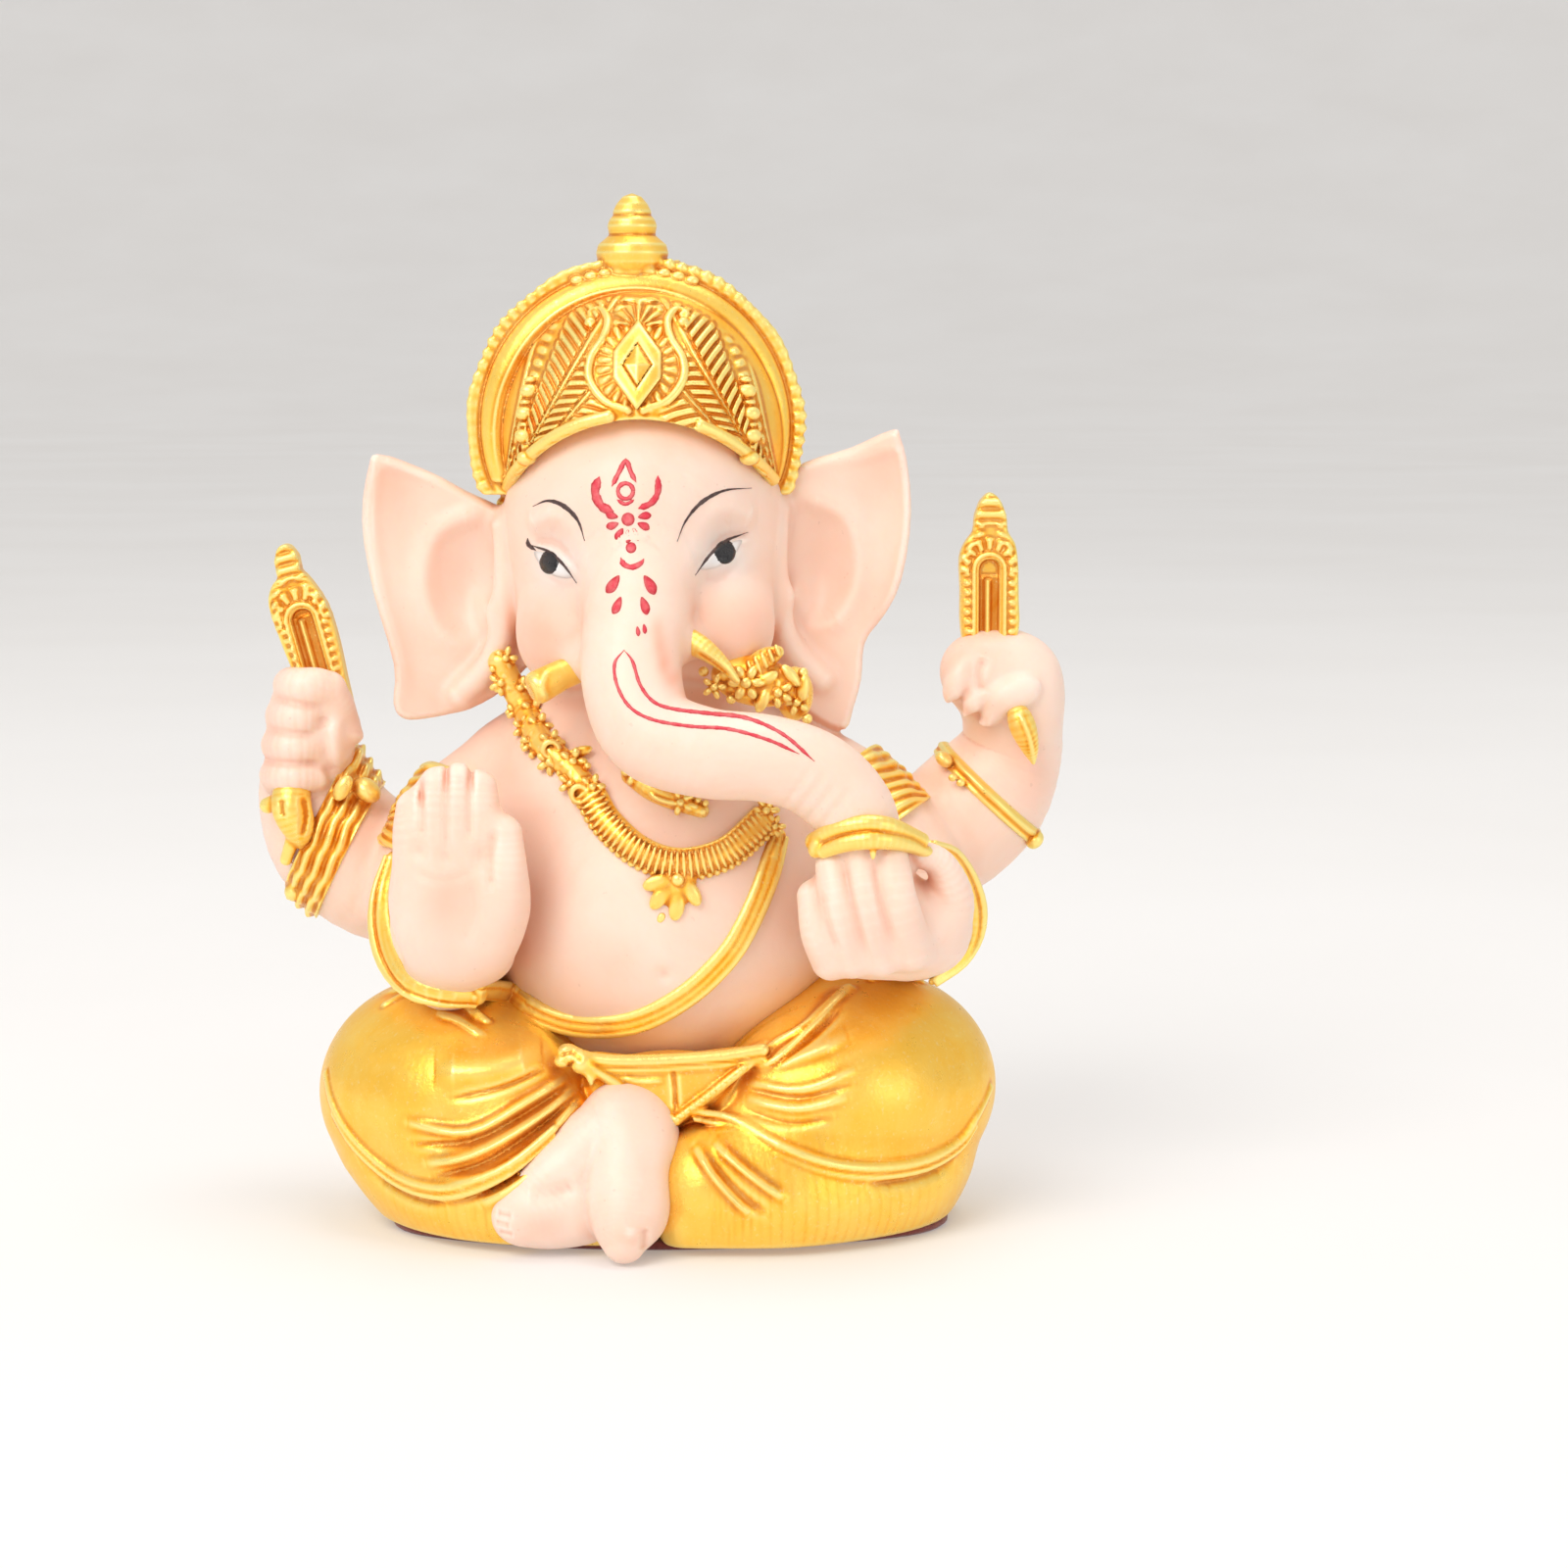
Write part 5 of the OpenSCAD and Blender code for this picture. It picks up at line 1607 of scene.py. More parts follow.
GARLAND = [
    (-13.6, 54.6), (-12.0, 51.4), (-9.6, 47.8), (-6.6, 45.4), (-4.4, 42.8), (-2.8, 40.4), (0.4, 37.8),
    (4.2, 36.7), (8.6, 37.6), (12.4, 40.6),
]
SASH = [
    (13.5, 38.6), (12.0, 33.9), (9.7, 29.2), (7.4, 26.3), (4.2, 23.5), (-0.5, 21.0), (-6.1, 20.3),
    (-10.7, 21.6), (-15.2, 24.2),
]


def garland(f):
    route = FLAT["garland"]
    split = int(len(route) * 0.42)
    upper, lower = route[: split + 1], route[split:]
    f.cord(thick_line(upper[::3] - (0, 0.3, 0), 1.25), 0, 3)
    rng = np.random.default_rng(11)
    for i, c in enumerate(evenly(upper, 1.55)):
        side = (-1) ** i * 0.75
        at = slide(np.array([c, c + (0.5, 0, -0.6)]), side)[0] - (0, 1.1, 0)
        flower(f, at, 1.15 + 0.25 * rng.random(), rng.uniform(-25, 25), 5 + i % 2, i)
    for c in evenly(upper, 0.62):
        off = rng.uniform(-1.7, 1.7)
        at = slide(np.array([c, c + (0.5, 0, -0.6)]), off)[0] - (
            0, 1.2 - 0.35 * abs(off) + 0.2 * rng.random(), 0,
        )
        f.blob(at, (0.36, 0.4, 0.36), 0.08)
    # two leaves and two rings that hang from the flowers
    for c, a in ((upper[len(upper) // 3], 30), (upper[2 * len(upper) // 3], -20)):
        f.blob(np.asarray(c) + (1.9, -0.9, 0.5), (1.5, 0.35, 0.55), 0.1, (0, a, 0))
    for i, (x, z) in enumerate(((-8.2, 47.0), (-5.4, 43.0))):
        y = float(np.interp(x, upper[:, 0], upper[:, 1])) - 1.6
        f.add(ring((x, y, z), (0, 1, 0), 0.75, 0.28), 0.08)
    # the lower half: ribs across a band, between two strands
    f.cord(thick_line(lower[::3] - (0, 0.1, 0), 1.3), 0.3, 3)
    ribs = evenly(lower, 0.62)
    for a, b in zip(ribs[:-1], ribs[1:]):
        lean = math.degrees(math.atan2(b[2] - a[2], b[0] - a[0]))
        f.blob(a - (0, 1.15, 0), (0.24, 0.4, 1.3), 0.1, (0, -lean, 0))
    f.cord(thick_line(slide(lower, 1.15)[::2] - (0, 0.6, 0), 0.4), 0.1, 3)
    for c in evenly(slide(lower, -1.35), 0.78):
        f.blob(c - (0, 0.5, 0), (0.38, 0.4, 0.38), 0.08)
    end = lower[-1]
    flower(f, end + (-0.1, -1.2, 0.7), 1.3, 10, 6)
    flower(f, end + (0.7, -0.9, -0.9), 1.1, -10, 5)


def garland_shoulder(f):
    f.blob((11.2, -11.6, 53.6), (4.2, 1.9, 2.4), 0, (0, 12, 0))
    f.blob((15.0, -9.8, 52.2), (1.8, 2.2, 2.6), 0.6)
    flower(f, (10.4, -13.7, 53.6), 1.7, 0, 6)
    flower(f, (13.4, -13.0, 52.6), 1.45, -15, 6, 1)
    flower(f, (7.4, -13.6, 53.2), 1.2, 10, 5)
    flower(f, (15.2, -12.0, 51.6), 1.3, -25, 5, 1)
    # a ribbed leaf that stands up behind the flowers
    f.cord([(10.2, -12.3, 54.2, 0.9), (12.0, -12.4, 55.6, 1.1), (13.4, -12.3, 56.4, 0.6)], 0.3)
    for i in range(5):
        rib = (10.9 + 0.62 * i, -13.2, 54.7 + 0.48 * i)
        f.blob(rib, (0.26, 0.4, 1.05 - 0.1 * i), 0.12, (0, -20, 0))
    for x, z, a in (
        (12.3, 53.9, 60), (14.6, 54.2, -40), (8.8, 54.3, 75), (12.0, 51.9, 25), (15.8, 53.0, 10),
    ):
        f.blob((x, -13.2 + 0.13 * max(x - 12, 0) ** 1.5, z), (0.6, 0.5, 1.3), 0.2, (0, a, 0))
    for x, z in ((6.4, 54.6), (8.4, 55.0), (9.0, 52.0), (11.6, 51.6), (15.8, 54.4), (16.2, 50.0)):
        f.blob((x, -12.9 + 0.13 * max(x - 12, 0) ** 1.5, z), (0.5, 0.5, 0.5), 0.08)


def choker(f):
    c = FLAT["choker"]
    f.cord(thick_line(c - (0, 0.2, 0), (0.9, 1.2, 1.1, 0.7)))
    flower(f, c[0] + (0.5, -1.3, 0.4), 1.35, 0, 6)
    flower(f, c[2] + (0.2, -1.1, -0.1), 1.3, 0, 5, 1)
    f.cord(thick_line(np.array([
        c[0] + (1.2, -1.2, -0.8), c[1] + (0.6, -1.5, -0.8), c[2] + (1.6, -1.0, -0.5),
    ]), 0.32), 0.1)
    for p in evenly(slide(c, 0.9), 0.8):
        f.blob(p - (0, 0.9, 0), (0.33, 0.4, 0.33), 0.08)


def pendant(f):
    x, y, z = FLAT["pendant"][0]
    f.blob((x + 0.2, y - 0.1, z - 1.0), (1.9, 1.0, 2.3), 0, (0, 20, 0))
    for dx, dz, a in ((-1.3, -2.0, 35), (0.3, -2.9, 12), (1.7, -1.6, -30), (-1.6, -0.6, 70)):
        f.blob((x + dx, y - 0.7, z + dz), (0.75, 0.5, 1.4), 0.25, (0, a, 0))
    f.blob((x + 0.4, y - 1.0, z - 0.3), (0.62, 0.5, 0.62), 0.08)
    f.blob((x - 1.2, y - 0.4, z - 4.0), (0.42, 0.4, 0.6), 0.1, (0, 30, 0))


def sash(f):
    """The flat cord across the belly, with a raised line along each edge."""
    route = FLAT["sash"]
    taper = np.interp(np.linspace(0, 1, len(route)), [0, 0.06, 0.9, 1], [0.6, 1.0, 1.0, 0.75])
    every = slice(None, None, 3)
    f.cord(thick_line(route + (0, 0.45, 0), 1.15 * taper)[every], 0, 2)
    f.cord(thick_line(slide(route, 0.72) - (0, 0.2, 0), 0.46 * taper)[every], 0.1, 2)
    f.cord(thick_line(slide(route, -0.66) - (0, 0.25, 0), 0.58 * taper)[every], 0.1, 2)


SHAWL_RIGHT = [
    (-24.2, 35.4), (-25.0, 32.2), (-24.8, 29.4), (-23.6, 26.8), (-21.6, 25.0), (-18.6, 24.2),
    (-15.4, 23.6),
]
SHAWL_LEFT = [
    (28.0, -17.4, 38.6), (30.0, -13.4, 37.2), (31.6, -9.6, 34.4), (32.5, -7.4, 31.2),
    (32.5, -7.0, 28.4), (31.2, -8.0, 26.0), (28.6, -9.6, 24.2),
]


def strands(f, route, offsets, radii, spread):
    """Cords side by side that open out or close up along a route."""
    t = np.linspace(0, 1, len(route))
    for off in offsets:
        f.cord(thick_line(slide(route, off * np.interp(t, *spread)), np.interp(t, *radii)), 0.22, 3)


def shawl_right(f):
    """A scarf end in four cords that fan out over the wrist and the thigh."""
    route = FLAT["shawl_right"]
    f.cord(thick_line(route + (0, 0.3, 0), np.linspace(0.7, 1.0, len(route))), 0, 3)
    strands(
        f, route - (0, 0.2, 0), (-1.5, -0.5, 0.5, 1.5), ([0, 0.4, 1], [0.26, 0.42, 0.3]),
        ([0, 0.45, 1], [0.5, 0.95, 0.6]),
    )
    end = route[3:5] + (0, -0.2, 0)
    f.cord(thick_line([
        end[0] + (0.5, 0, -0.6), end[1] + (0.4, -0.3, -1.2), end[1] + (2.6, -0.8, -1.7),
    ], (0.6, 0.55, 0.2)), 0.3, 3)


def shawl_left(f):
    """A scarf end in three cords, narrow where it leaves the hand and where it tucks in."""
    route = FLAT["shawl_left"]
    f.cord(thick_line(route + (-0.3, 0.4, 0), [0.5, 0.75, 0.9, 0.95, 0.9, 0.7, 0.35]), 0, 3)
    strands(f, route, (-1, 0, 1), ([0, 0.5, 1], [0.26, 0.42, 0.2]), ([0, 0.5, 1], [0.35, 0.8, 0.3]))


def trunk_bowl(f):
    """The gold band where the trunk dips into the cupped hand."""
    f.cord([
        (16.9, -21.2, 39.5, 0.95), (18.6, -22.8, 40.8, 0.8), (21.2, -23.7, 41.5, 0.85),
        (23.8, -23.2, 41.2, 0.85), (26.8, -20.6, 39.6, 0.7),
    ])
    f.cord([
        (17.6, -22.3, 38.8, 0.7), (20.0, -23.6, 39.8, 0.85), (22.4, -23.9, 40.1, 0.95),
        (25.0, -22.5, 39.6, 0.8), (27.4, -19.8, 38.3, 0.6),
    ], 0.25)
    f.blob((17.2, -21.8, 39.3), (0.9, 1.0, 1.3), 0.2, (0, 25, 0))
    f.blob((18.6, -22.9, 39.9), (0.35, 0.5, 1.2), 0.1, (0, 40, 0))
    f.blob((22.2, -23.9, 39.0), (0.3, 0.3, 0.8), 0.25)


def cuff(limb, centre, axis, width, thick, relief):
    """An armlet: the limb made thicker between two planes, with its own relief."""
    shape = tube(limb)
    centre, axis = arr(centre), arr(axis) / np.linalg.norm(axis)
    reach = width / 2 + 10

    def fn(p):
        h = (p - centre) @ axis
        side = np.arctan2(p[..., 2] - centre[2], p[..., 1] - centre[1])
        d = shape.fn(p) - thick
        d = d - relief(h, side)
        return smax(d, np.abs(h) - width / 2, 0.35)

    return Shape(fn, centre - reach, centre + reach)


def leafy(h, side):
    """Rows of small lumps, like cast leaves."""
    lumps = 0.22 * np.cos(h * 3.1 + 0.8 * np.sin(side * 5)) * np.cos(side * 9 + h * 0.9)
    return lumps + 0.25 * np.exp(-((np.abs(h) - 4.2) ** 2) / 0.3)


def ribbed(h, side):
    return 0.2 * np.cos(h * 5.0 + 0.8 * np.sin(side * 4)) + 0.16 * np.sin(side * 17 + h * 3) * np.cos(h * 2.4)


def armlet_front_right(f):
    f.add(cuff(FRONT_RIGHT_LIMB, (-19.0, 0, 38.6), (-0.38, -0.2, -0.9), 9.6, 0.75, leafy))


def armlet_front_left(f):
    f.add(cuff(FRONT_LEFT_LIMB, (20.6, 0.6, 39.4), (0.62, -0.15, -0.76), 7.6, 0.75, leafy))


def armlet_rear_right(f):
    f.add(cuff(REAR_RIGHT_LIMB, (-31.0, 6, 36.7), (-0.89, 0, 0.45), 4.3, 0.55, ribbed))
    f.blob((-27.2, 0.8, 41.6), (1.5, 1.6, 1.1), 0.4, (0, 40, 0))
    f.blob((-29.4, -0.8, 42.0), (0.8, 0.7, 1.4), 0.3, (0, 30, 0))
    f.blob((-34.8, 2.6, 31.2), (1.0, 1.4, 1.0), 0.3)


def one_line(h, side):
    return 0.28 * np.exp(-((h - 0.25) ** 2) / 0.12)


def armlet_rear_left(f):
    f.add(cuff(REAR_LEFT_LIMB, (34.0, 6, 41.2), (0.68, 0, 0.73), 1.7, 0.35, one_line))
    f.blob((39.0, 3.2, 36.3), (0.8, 1.1, 1.0), 0.15, (0, 40, 0))
    f.blob((29.8, 1.4, 44.6), (1.0, 1.1, 0.7), 0.15, (0, 42, 0))
    for x, z in ((30.6, 43.0), (31.4, 42.5)):
        f.blob((x, -0.5, z), (0.45, 0.4, 0.4), 0.1)


def tusk_right(f):
    """Broken short, with a flat end."""
    f.add(tube([
        (-4.6, -13.4, 55.3, 1.3), (-7.0, -14.4, 54.4, 1.45), (-9.0, -15.2, 53.4, 1.6),
    ], smooth=False))
    end = arr((-9.4, -15.4, 53.2))
    axis = arr((-0.86, -0.35, -0.38))
    f.d = smax(f.d, (f.p - end) @ axis - 0.5, 0.5)
    f.fold([(-8.2, -16.4, 55.1), (-8.6, -16.9, 53.6), (-8.2, -16.4, 52.2)], 0.35, 0.15)


def tusk_left(f):
    f.cord([
        (4.2, -14.2, 58.0, 1.35), (6.4, -15.4, 57.0, 1.05), (8.2, -15.8, 55.6, 0.7),
        (9.6, -15.8, 54.0, 0.3),
    ])
    f.fold([(5.8, -16.6, 56.8), (7.6, -16.8, 55.6), (9.0, -16.4, 54.4)], 0.2, -0.15)


def emblem(foot, tilt, outline, arch, slot_top, rays):
    """A leaf-shaped plate in a local frame: u across, w up, v back.

    It has a beaded border and an arched window: arch is its middle (u, w) and radius.
    """
    foot = arr(foot)
    a = math.radians(tilt)
    u_axis, w_axis = arr((math.cos(a), 0, -math.sin(a))), arr((math.sin(a), 0, math.cos(a)))
    o = spline(outline, 3, closed=True)

    def fn(p):
        q = p - foot
        u, w, v = q @ u_axis, q @ w_axis, q[..., 1]
        side = polygon_distance(u, w, o)
        arch_r = np.hypot(u - arch[0], np.maximum(w - arch[1], 0))
        frame = np.exp(-(((arch_r - arch[2]) / 0.28) ** 2)) * 0.42
        spoke = np.arctan2(u - arch[0], w - arch[1])
        ray = np.clip(
            (arch_r - arch[2] - 0.35) / 0.2, 0, 1,
        ) * np.clip((arch[2] + 1.75 - arch_r) / 0.3, 0, 1)
        ray = ray * (0.5 + 0.5 * np.cos(spoke * rays)) * 0.34 * np.clip((w - arch[1] + 0.6) / 0.4, 0, 1)
        bead = np.exp(-(((side + 0.75) / 0.34) ** 2)) * (0.55 + 0.45 * np.cos(w * 2 * np.pi / 0.95)) * 0.34
        hole_depth = 0.75 + 0.5 * np.clip((w - slot_top) / 0.3, 0, 1)
        hole = -np.clip((arch[2] - 0.45 - arch_r) / 0.2, 0, 1) * hole_depth
        bar = np.exp(-(((u - arch[0] + 0.15) / 0.34) ** 2)) * 0.75 * np.clip((slot_top - w) / 0.3, 0, 1)
        cap = np.clip((w - 10.4) / 0.3, 0, 1)
        tiers = 0.2 * np.cos(w * 2 * np.pi / 1.15) * cap
        window = frame + ray + hole + np.where(arch_r < arch[2], bar, 0)
        relief = window * (1 - cap) + bead * (1 - cap) + tiers
        relief = relief * np.clip(np.abs(v) / 0.5, 0, 1)
        thick = 1.15 + 0.25 * cap
        return smax(side, np.abs(v) - thick - relief, 0.5)

    reach = np.array([18.0, 3.2, 18.0])
    return Shape(fn, foot - reach, foot + reach)


RIGHT_EMBLEM = [
    (-1.6, -6), (-2.2, -1), (-2.55, 2), (-2.9, 5.5), (-3.0, 8.6), (-2.3, 10.2), (-1.4, 11),
    (-1.3, 12.3), (-0.8, 13.5), (0, 14.0), (0.8, 13.5), (1.15, 12.3), (1.05, 11.2), (1.7, 10.0),
    (2.5, 7.6), (2.75, 4.6), (2.5, 0), (1.8, -6),
]
LEFT_EMBLEM = [
    (-1.6, -4), (-2.8, 0), (-2.9, 4), (-3.0, 7.2), (-2.4, 8.8), (-1.7, 9.8), (-1.5, 11.4),
    (-0.9, 12.9), (0, 13.6), (0.9, 13.0), (1.6, 11.4), (1.8, 9.8), (2.5, 8.6), (2.8, 6.6), (2.9, 3),
    (2.9, 0), (1.6, -4),
]


def emblem_right(f):
    f.add(emblem((-31.6, 2.2, 52.3), -15, RIGHT_EMBLEM, (-0.15, 6.4, 1.55), 6.6, 15))
    f.cord([
        (-34.4, -0.4, 42.4, 1.7), (-34.4, -1.2, 40.2, 2.0), (-33.8, -1.2, 38.2, 1.6),
        (-33.6, -0.6, 36.6, 0.7),
    ], 0.3)
    f.cord([(-34.6, -1.0, 41.0, 1.0), (-36.9, -0.2, 40.2, 0.8)], 0.3)
    f.cord([(-34.4, -0.8, 37.0, 0.7), (-35.2, -0.2, 34.8, 0.6)], 0.3)
    f.fold([(-33.2, -3, 41.4), (-32.9, -3.2, 39.4), (-33.3, -2.6, 37.4)], 0.35, -0.35)
    f.fold([(-35.2, -3, 41.2), (-35.0, -3, 39.4)], 0.3, -0.25)


def emblem_left(f):
    f.add(emblem((34.2, 2.0, 57.3), 0, LEFT_EMBLEM, (-0.05, 6.1, 1.5), 5.3, 16))
    f.cord([
        (36.5, -1.5, 50.5, 0.6), (37.2, -2.3, 48.6, 1.3), (38.0, -1.7, 46.4, 0.95),
        (38.5, -1.1, 44.6, 0.25),
    ], 0.2)
    f.fold([(36.9, -3.4, 49.8), (37.8, -3.4, 47.6), (38.4, -2.6, 45.4)], 0.25, 0.18)


TRIM_PARTS = [
    ("garland", garland, 0),
    ("garland_shoulder", garland_shoulder, 0),
    ("choker", choker, 0),
    ("pendant", pendant, 0),
    ("sacred_cord", sash, 0),
    ("shawl_right", shawl_right, 0.2),
    ("shawl_left", shawl_left, 0.2),
    ("trunk_bowl", trunk_bowl, 0.2),
    ("armlet_front_right", armlet_front_right, 0.1),
    ("armlet_front_left", armlet_front_left, 0.1),
    ("armlet_rear_right", armlet_rear_right, 0.1),
    ("armlet_rear_left", armlet_rear_left, 0.1),
    ("tusk_right", tusk_right, 0),
    ("tusk_left", tusk_left, 0),
    ("axe_right", emblem_right, 0),
    ("goad_left", emblem_left, 0),
]


def trim(f):
    f.join_all(TRIM_PARTS)


def body(f):
    skin(f)
    cloth(f)


def lay_routes():
    """Lays the garland, choker, pendant, sash and scarf on the body."""
    lay(
        body,
        {
            "garland": spline(GARLAND, 6),
            "choker": [(-0.6, 44.6), (1.6, 43.4), (4.0, 42.4), (6.2, 41.4)],
            "pendant": [(3.6, 35.6)],
            "sash": spline(SASH, 6),
            "shawl_right": SHAWL_RIGHT,
        },
        -2.5,
    )
    FLAT["shawl_left"] = np.array(SHAWL_LEFT)


# ---- painted lines ----
PAINT_RISE = 0.08


def stroke(path, width, step=0.22, taper=0.25, closed=False):
    """A painted line seen from the front: rows of (x, z) across its width."""
    line = spline(path, 10, closed)[:, :2]
    if closed:
        line = np.r_[line, line[:1]]
    length = np.r_[0, np.cumsum(np.linalg.norm(np.diff(line, axis=0), axis=1))]
    count = max(4, int(length[-1] / step) + 1)
    at = np.linspace(0, length[-1], count)
    line = np.stack([np.interp(at, length, line[:, i]) for i in (0, 1)], 1)
    t = np.gradient(line, axis=0)
    t /= np.maximum(np.linalg.norm(t, axis=1, keepdims=True), 1e-6)
    side = np.c_[-t[:, 1], t[:, 0]]
    share = at / length[-1]
    ends = np.ones(count) if closed else np.clip(np.minimum(share, 1 - share) / max(taper, 1e-3), 0.12, 1)
    wobble = 1 + 0.10 * np.sin(at * 5.1 + line[0, 0]) + 0.07 * np.sin(at * 11.3 + line[0, 1])
    half = 0.5 * width * ends * wobble
    across = np.array([-1, -0.5, 0, 0.5, 1])
    return line[:, None, :] + across[None, :, None] * half[:, None, None] * side[:, None, :]


def patch(outline, rings=5):
    """A painted area seen from the front: rows from its middle to its edge, closed round."""
    o = spline(outline, 6, closed=True)[:, :2]
    o = np.r_[o, o[:1]]
    middle = o[:-1].mean(0)
    share = np.linspace(0.02, 1, rings)
    return middle + (o[:, None, :] - middle) * share[None, :, None]


class Paint:
    """Collects strokes and patches of one colour, lays them on the skin, and makes one piece."""

    def __init__(self, name, material, rise=PAINT_RISE):
        self.name, self.material, self.rise, self.grids = name, material, rise, []

    def line(self, path, width, **more):
        self.grids.append((stroke(path, width, **more), True))

    def fill(self, outline, rings=5):
        self.grids.append((patch(outline, rings), False))

    def make(self, at, normal):
        """at and normal hold this paint's points in order."""
        verts, faces, shade, start, base = [], [], [], 0, 0
        for grid, is_line in self.grids:
            rows, cols = grid.shape[:2]
            n = rows * cols
            p, m = at[start : start + n], normal[start : start + n]
            start += n
            edge = np.abs(np.linspace(-1, 1, cols)) if is_line else np.linspace(0, 1, cols)
            edge = np.tile(edge, rows)
            rise = self.rise * (1 - 0.75 * edge**4)
            top, under = p + m * rise[:, None], p - m * HIDDEN_DEPTH
            verts += [top, under]
            shade += [np.c_[edge, edge, edge, edge]] * 2
            i, j = np.meshgrid(np.arange(rows - 1), np.arange(cols - 1), indexing="ij")
            a = (base + i * cols + j).ravel()
            quad = np.stack([a, a + cols, a + cols + 1, a + 1], 1)
            faces += [quad, quad[:, ::-1] + n]
            rim = [base + r * cols + cols - 1 for r in range(rows)]
            if is_line:
                rim = (
                    [base + c for c in range(cols)]
                    + [base + r * cols + cols - 1 for r in range(1, rows)]
                    + [base + (rows - 1) * cols + c for c in range(cols - 2, -1, -1)]
                    + [base + r * cols for r in range(rows - 2, -1, -1)]
                )
            rim = np.array(rim)
            faces.append(np.stack([rim[:-1], rim[1:], rim[1:] + n, rim[:-1] + n], 1))
            base += 2 * n
        verts = np.concatenate(verts)
        # strokes come out facing the front whichever way they were drawn
        obj = new_mesh(self.name, verts, np.concatenate(faces), None, np.concatenate(shade))
        finish_piece(obj, self.material, "resin")


def paint_material(name, inner, outer, rough=0.42, blotch=0.35):
    """Brushed paint: darker where it gathers at its edges, thin in patches."""
    material, tree, shader = new_material(name)
    edge, _, _, _ = shade_channels(tree)
    gathered = ramp(tree, edge, [(0.35, inner), (0.85, outer)])
    thin = ramp(tree, noise(tree, 1500, 3, 0.6), [(0.40, 0.0), (0.66, blotch)])
    pale = tuple(0.55 * c + 0.45 * s for c, s in zip(inner, IVORY))
    tree.links.new(mix(tree, thin, gathered, pale), shader.inputs["Base Color"])
    gloss = ramp(tree, noise(tree, 900, 2, 0.5), [(0.3, rough - 0.08), (0.7, rough + 0.08)])
    tree.links.new(gloss, shader.inputs["Roughness"])
    add_bump(tree, shader, noise(tree, 2600, 2, 0.5), 0.15, 0.0001)
    return material


def circle(x, z, r, n=8, squash=1.0):
    a = 2 * np.pi * np.arange(n) / n
    return np.c_[x + r * np.cos(a), z + r * squash * np.sin(a)]


def drop(x, z, length, width, angle):
    """A petal outline from its inner end, pointing along angle in degrees from straight up."""
    a = math.radians(angle)
    d, s = np.array([math.sin(a), math.cos(a)]), np.array([math.cos(a), -math.sin(a)])
    return [
        np.array([x, z]) + d * length * t + s * width * w
        for t, w in ((0, 0), (0.35, 0.42), (0.75, 0.5), (1, 0.1), (0.75, -0.45), (0.35, -0.42))
    ]


def paint_red(red):
    """Forehead mark: a two-armed curve with a flame, a flower, a dot, a bowl and two pairs of leaves."""
    red.line([(-3.3, 73.0), (-3.7, 71.6), (-3.1, 70.3), (-1.9, 69.8)], 0.85, taper=0.12)
    red.line([(2.2, 73.1), (2.2, 71.6), (1.6, 70.6), (0.4, 70.1)], 0.6, taper=0.12)
    red.line([(-2.1, 72.1), (-1.4, 73.5), (-0.8, 74.5), (-0.3, 73.4), (0.2, 72.5)], 0.45, taper=0.1)
    red.line(circle(-0.8, 71.7, 0.72), 0.4, closed=True)
    red.line([(-1.6, 70.9), (-0.8, 70.5), (0, 70.9)], 0.35, taper=0.15)
    red.fill(circle(-0.55, 69.1, 0.62))
    for a in (-112, -150, 180, 150, 112, -78, 78):
        s, c = math.sin(math.radians(a)), math.cos(math.radians(a))
        red.fill(drop(-0.55 + 0.95 * s, 69.1 + 0.95 * c, 1.25, 0.72, a), 4)
    red.fill(circle(-0.25, 66.5, 0.5), 4)
    red.line([(-1.2, 65.6), (-0.9, 65.0), (-0.1, 64.75), (0.7, 65.1), (0.95, 65.5)], 0.5, taper=0.15)
    for side, x in ((-1, -1.3), (1, 1.0)):
        # two plain leaves that point down and outwards
        red.fill(drop(x, 64.0, 2.0, 0.95, side * 146), 5)
        red.fill(drop(x - side * 0.2, 62.1, 1.7, 0.8, side * 158), 5)
    for x, z in ((0.45, 59.5), (1.05, 59.7)):
        red.fill(drop(x, z, 0.9, 0.4, 168), 4)
    # the long double line down the trunk
    outer = [
        (-0.7, 57.4), (-1.55, 56.2), (-1.3, 54.3), (-0.1, 52.4), (2.0, 51.3), (5.4, 50.7), (9.0, 50.4),
        (12.6, 49.4), (15.4, 48.1),
    ]
    inner = [
        (-0.7, 57.4), (0.1, 56.4), (0.8, 54.4), (2.0, 52.9), (3.8, 52.2), (7.2, 51.7), (10.8, 51.2),
        (14.0, 49.8), (16.8, 47.4),
    ]
    red.line(outer, 0.3, taper=0.06)
    red.line(inner, 0.3, taper=0.06)


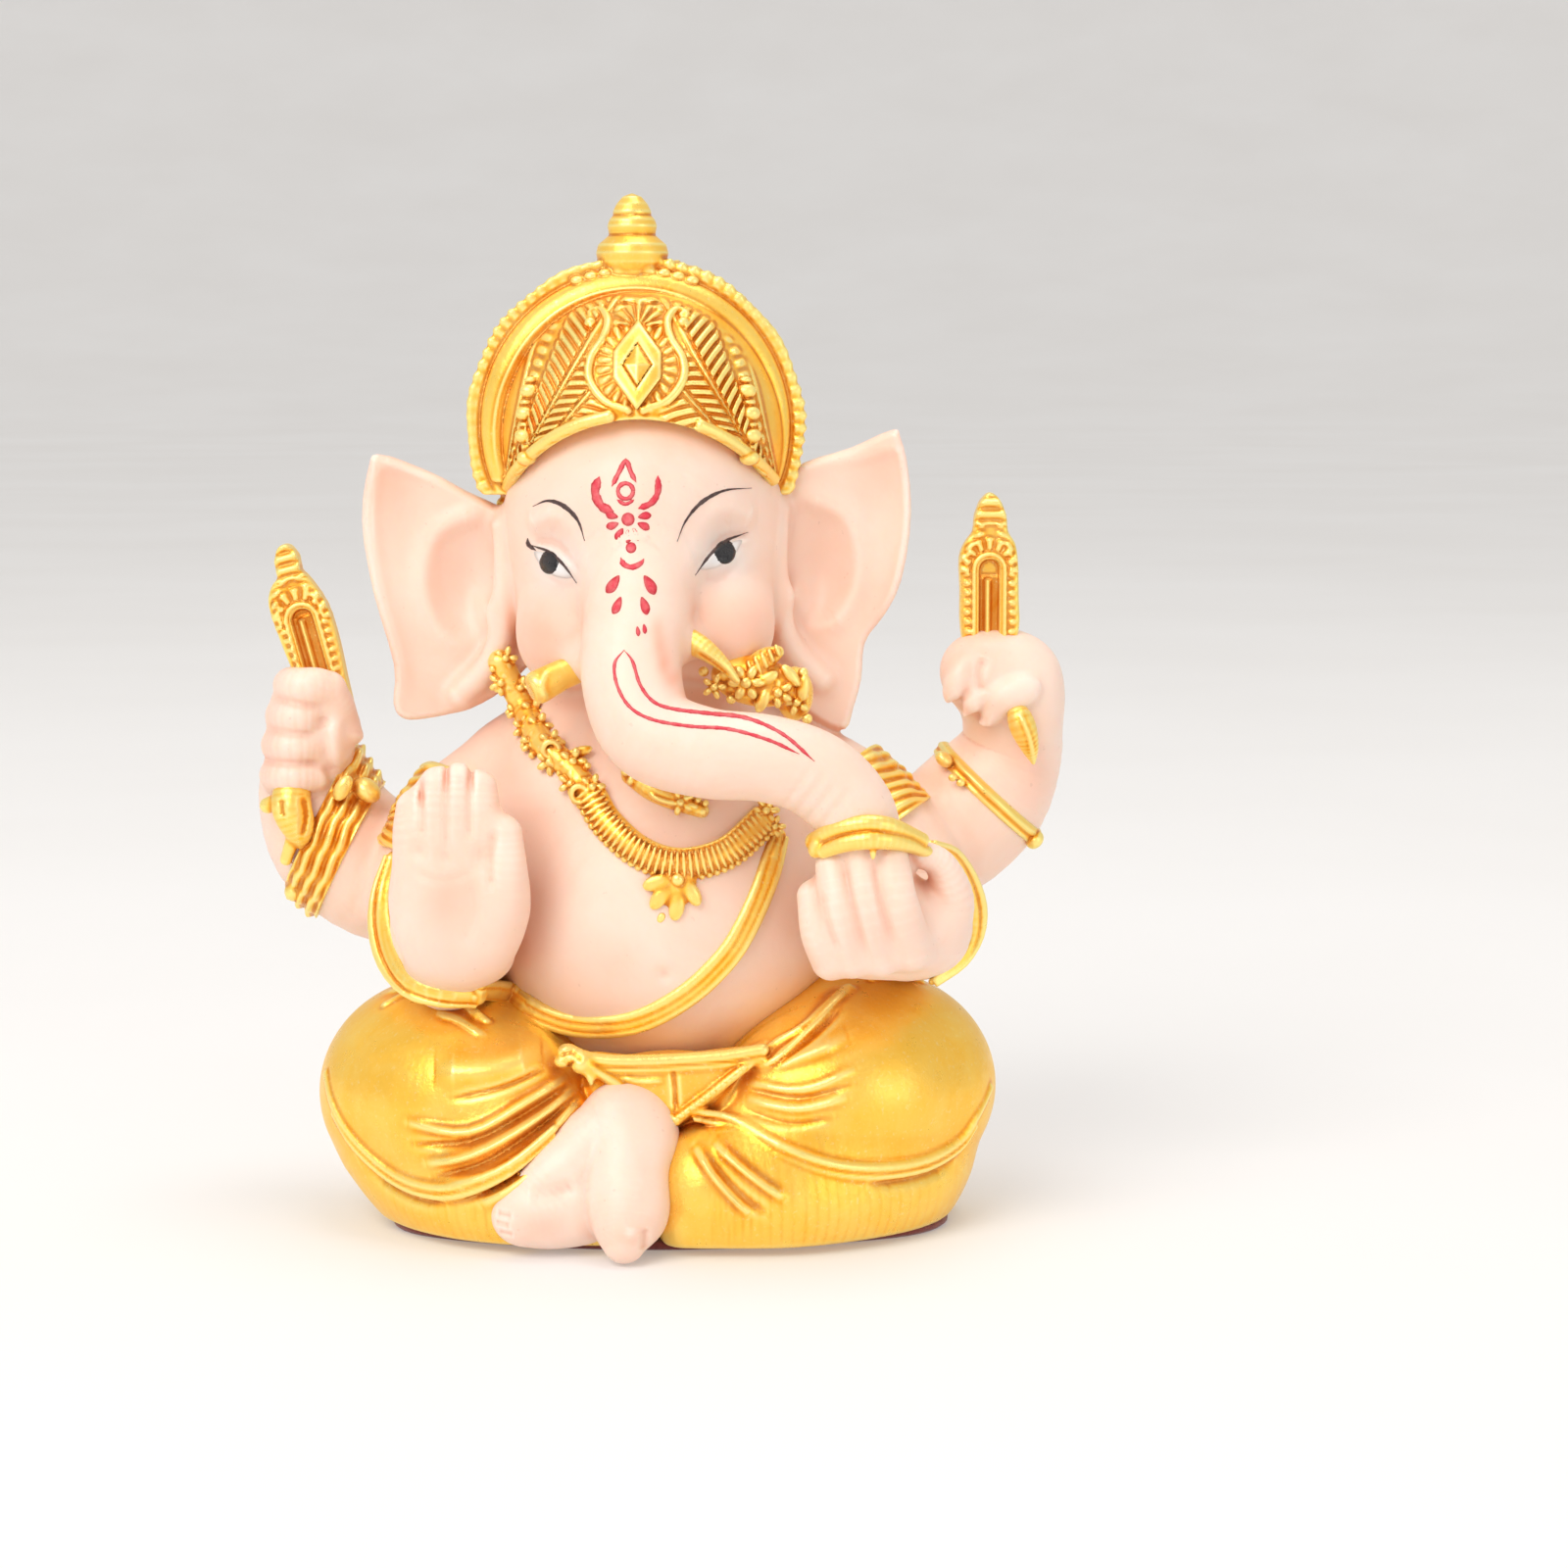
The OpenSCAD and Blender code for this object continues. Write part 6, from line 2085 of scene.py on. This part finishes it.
def paint_dark(dark, eye_black, sclera):
    """Brows, lid lines and eyes."""
    dark.line([(-9.9, 70.0), (-8.4, 70.6), (-6.8, 70.2), (-5.4, 68.9), (-4.7, 67.0)], 0.44, taper=0.4)
    dark.line([(4.0, 67.0), (4.8, 68.9), (6.3, 70.6), (8.4, 71.6), (10.9, 71.7)], 0.38, taper=0.45)
    for side, x, z, tilt in ((-1, -8.2, 64.8, -0.42), (1, 8.3, 65.8, 0.5)):
        def at(u, w):
            # u runs from the inner corner to the outer one
            return (x + side * (u - 0.06 * w), z + w + abs(tilt) * u)

        sclera.fill([
            at(-2.2, -0.35), at(-1.0, 0.4), at(0.4, 0.55), at(1.7, 0.1), at(0.8, -0.85),
            at(-0.8, -1.05),
        ], 5)
        dark.line([
            at(-2.7, -0.7), at(-1.2, 0.45), at(0.3, 0.85), at(1.4, 0.7), at(2.3, 0.55),
        ], 0.3, taper=0.3)
        eye_black.fill(circle(at(0.1, -0.1)[0], at(0.1, -0.1)[1], 1.0, 10, 1.08), 6)
        if side < 0:
            dark.line([at(1.5, 0.35), at(2.3, 0.5), at(2.4, 1.1)], 0.4, taper=0.25)


def make_paint():
    red = Paint(
        "paint_red_mark",
        paint_material("red_paint", (0.68, 0.03, 0.06), (0.52, 0.008, 0.025), 0.42, 0.3),
    )
    dark = Paint(
        "paint_dark_lines",
        paint_material("dark_paint", (0.045, 0.02, 0.018), (0.07, 0.03, 0.03), 0.4, 0.12), 0.06,
    )
    black = Paint(
        "paint_pupils",
        paint_material("black_paint", (0.02, 0.02, 0.022), (0.012, 0.012, 0.014), 0.28, 0.0), 0.09,
    )
    white = Paint(
        "paint_eye_whites",
        paint_material("eye_white_paint", (0.80, 0.81, 0.82), (0.76, 0.72, 0.70), 0.35, 0.05), 0.04,
    )
    paint_red(red)
    paint_dark(dark, black, white)
    layers = (red, dark, black, white)
    points = [g.reshape(-1, 2) for paint in layers for g, _ in paint.grids]
    at, normal = front_of(skin, np.concatenate(points))
    start = 0
    for paint in layers:
        n = sum(g.shape[0] * g.shape[1] for g, _ in paint.grids)
        paint.make(at[start : start + n], normal[start : start + n])
        start += n


make_camera()
make_stage()
make_lights()
resin = resin_material()
gold = gold_material()

skin_surface = Surface(skin, (-44, -30, 0), (46, 22, 86), SKIN_CELL)
add_blush(skin_surface)
split_pieces(skin_surface, "skin_", resin, "resin")
lay_cords()
cloth_surface = Surface(cloth, (-36, -26, 0), (40, 22, 28), CLOTH_CELL)
split_pieces(cloth_surface, "cloth_", gold, "gold_paint")
crown_surface = Surface(crown, (-19, -17, 66), (19, 21, 102), CROWN_CELL, 1.6)
split_pieces(crown_surface, "gilt_", gold, "gold_paint")
lay_routes()
trim_surface = Surface(trim, (-42, -28, 16), (44, 16, 74), TRIM_CELL, 1.3)
split_pieces(trim_surface, "gilt_", gold, "gold_paint")
make_paint()
make_pad()
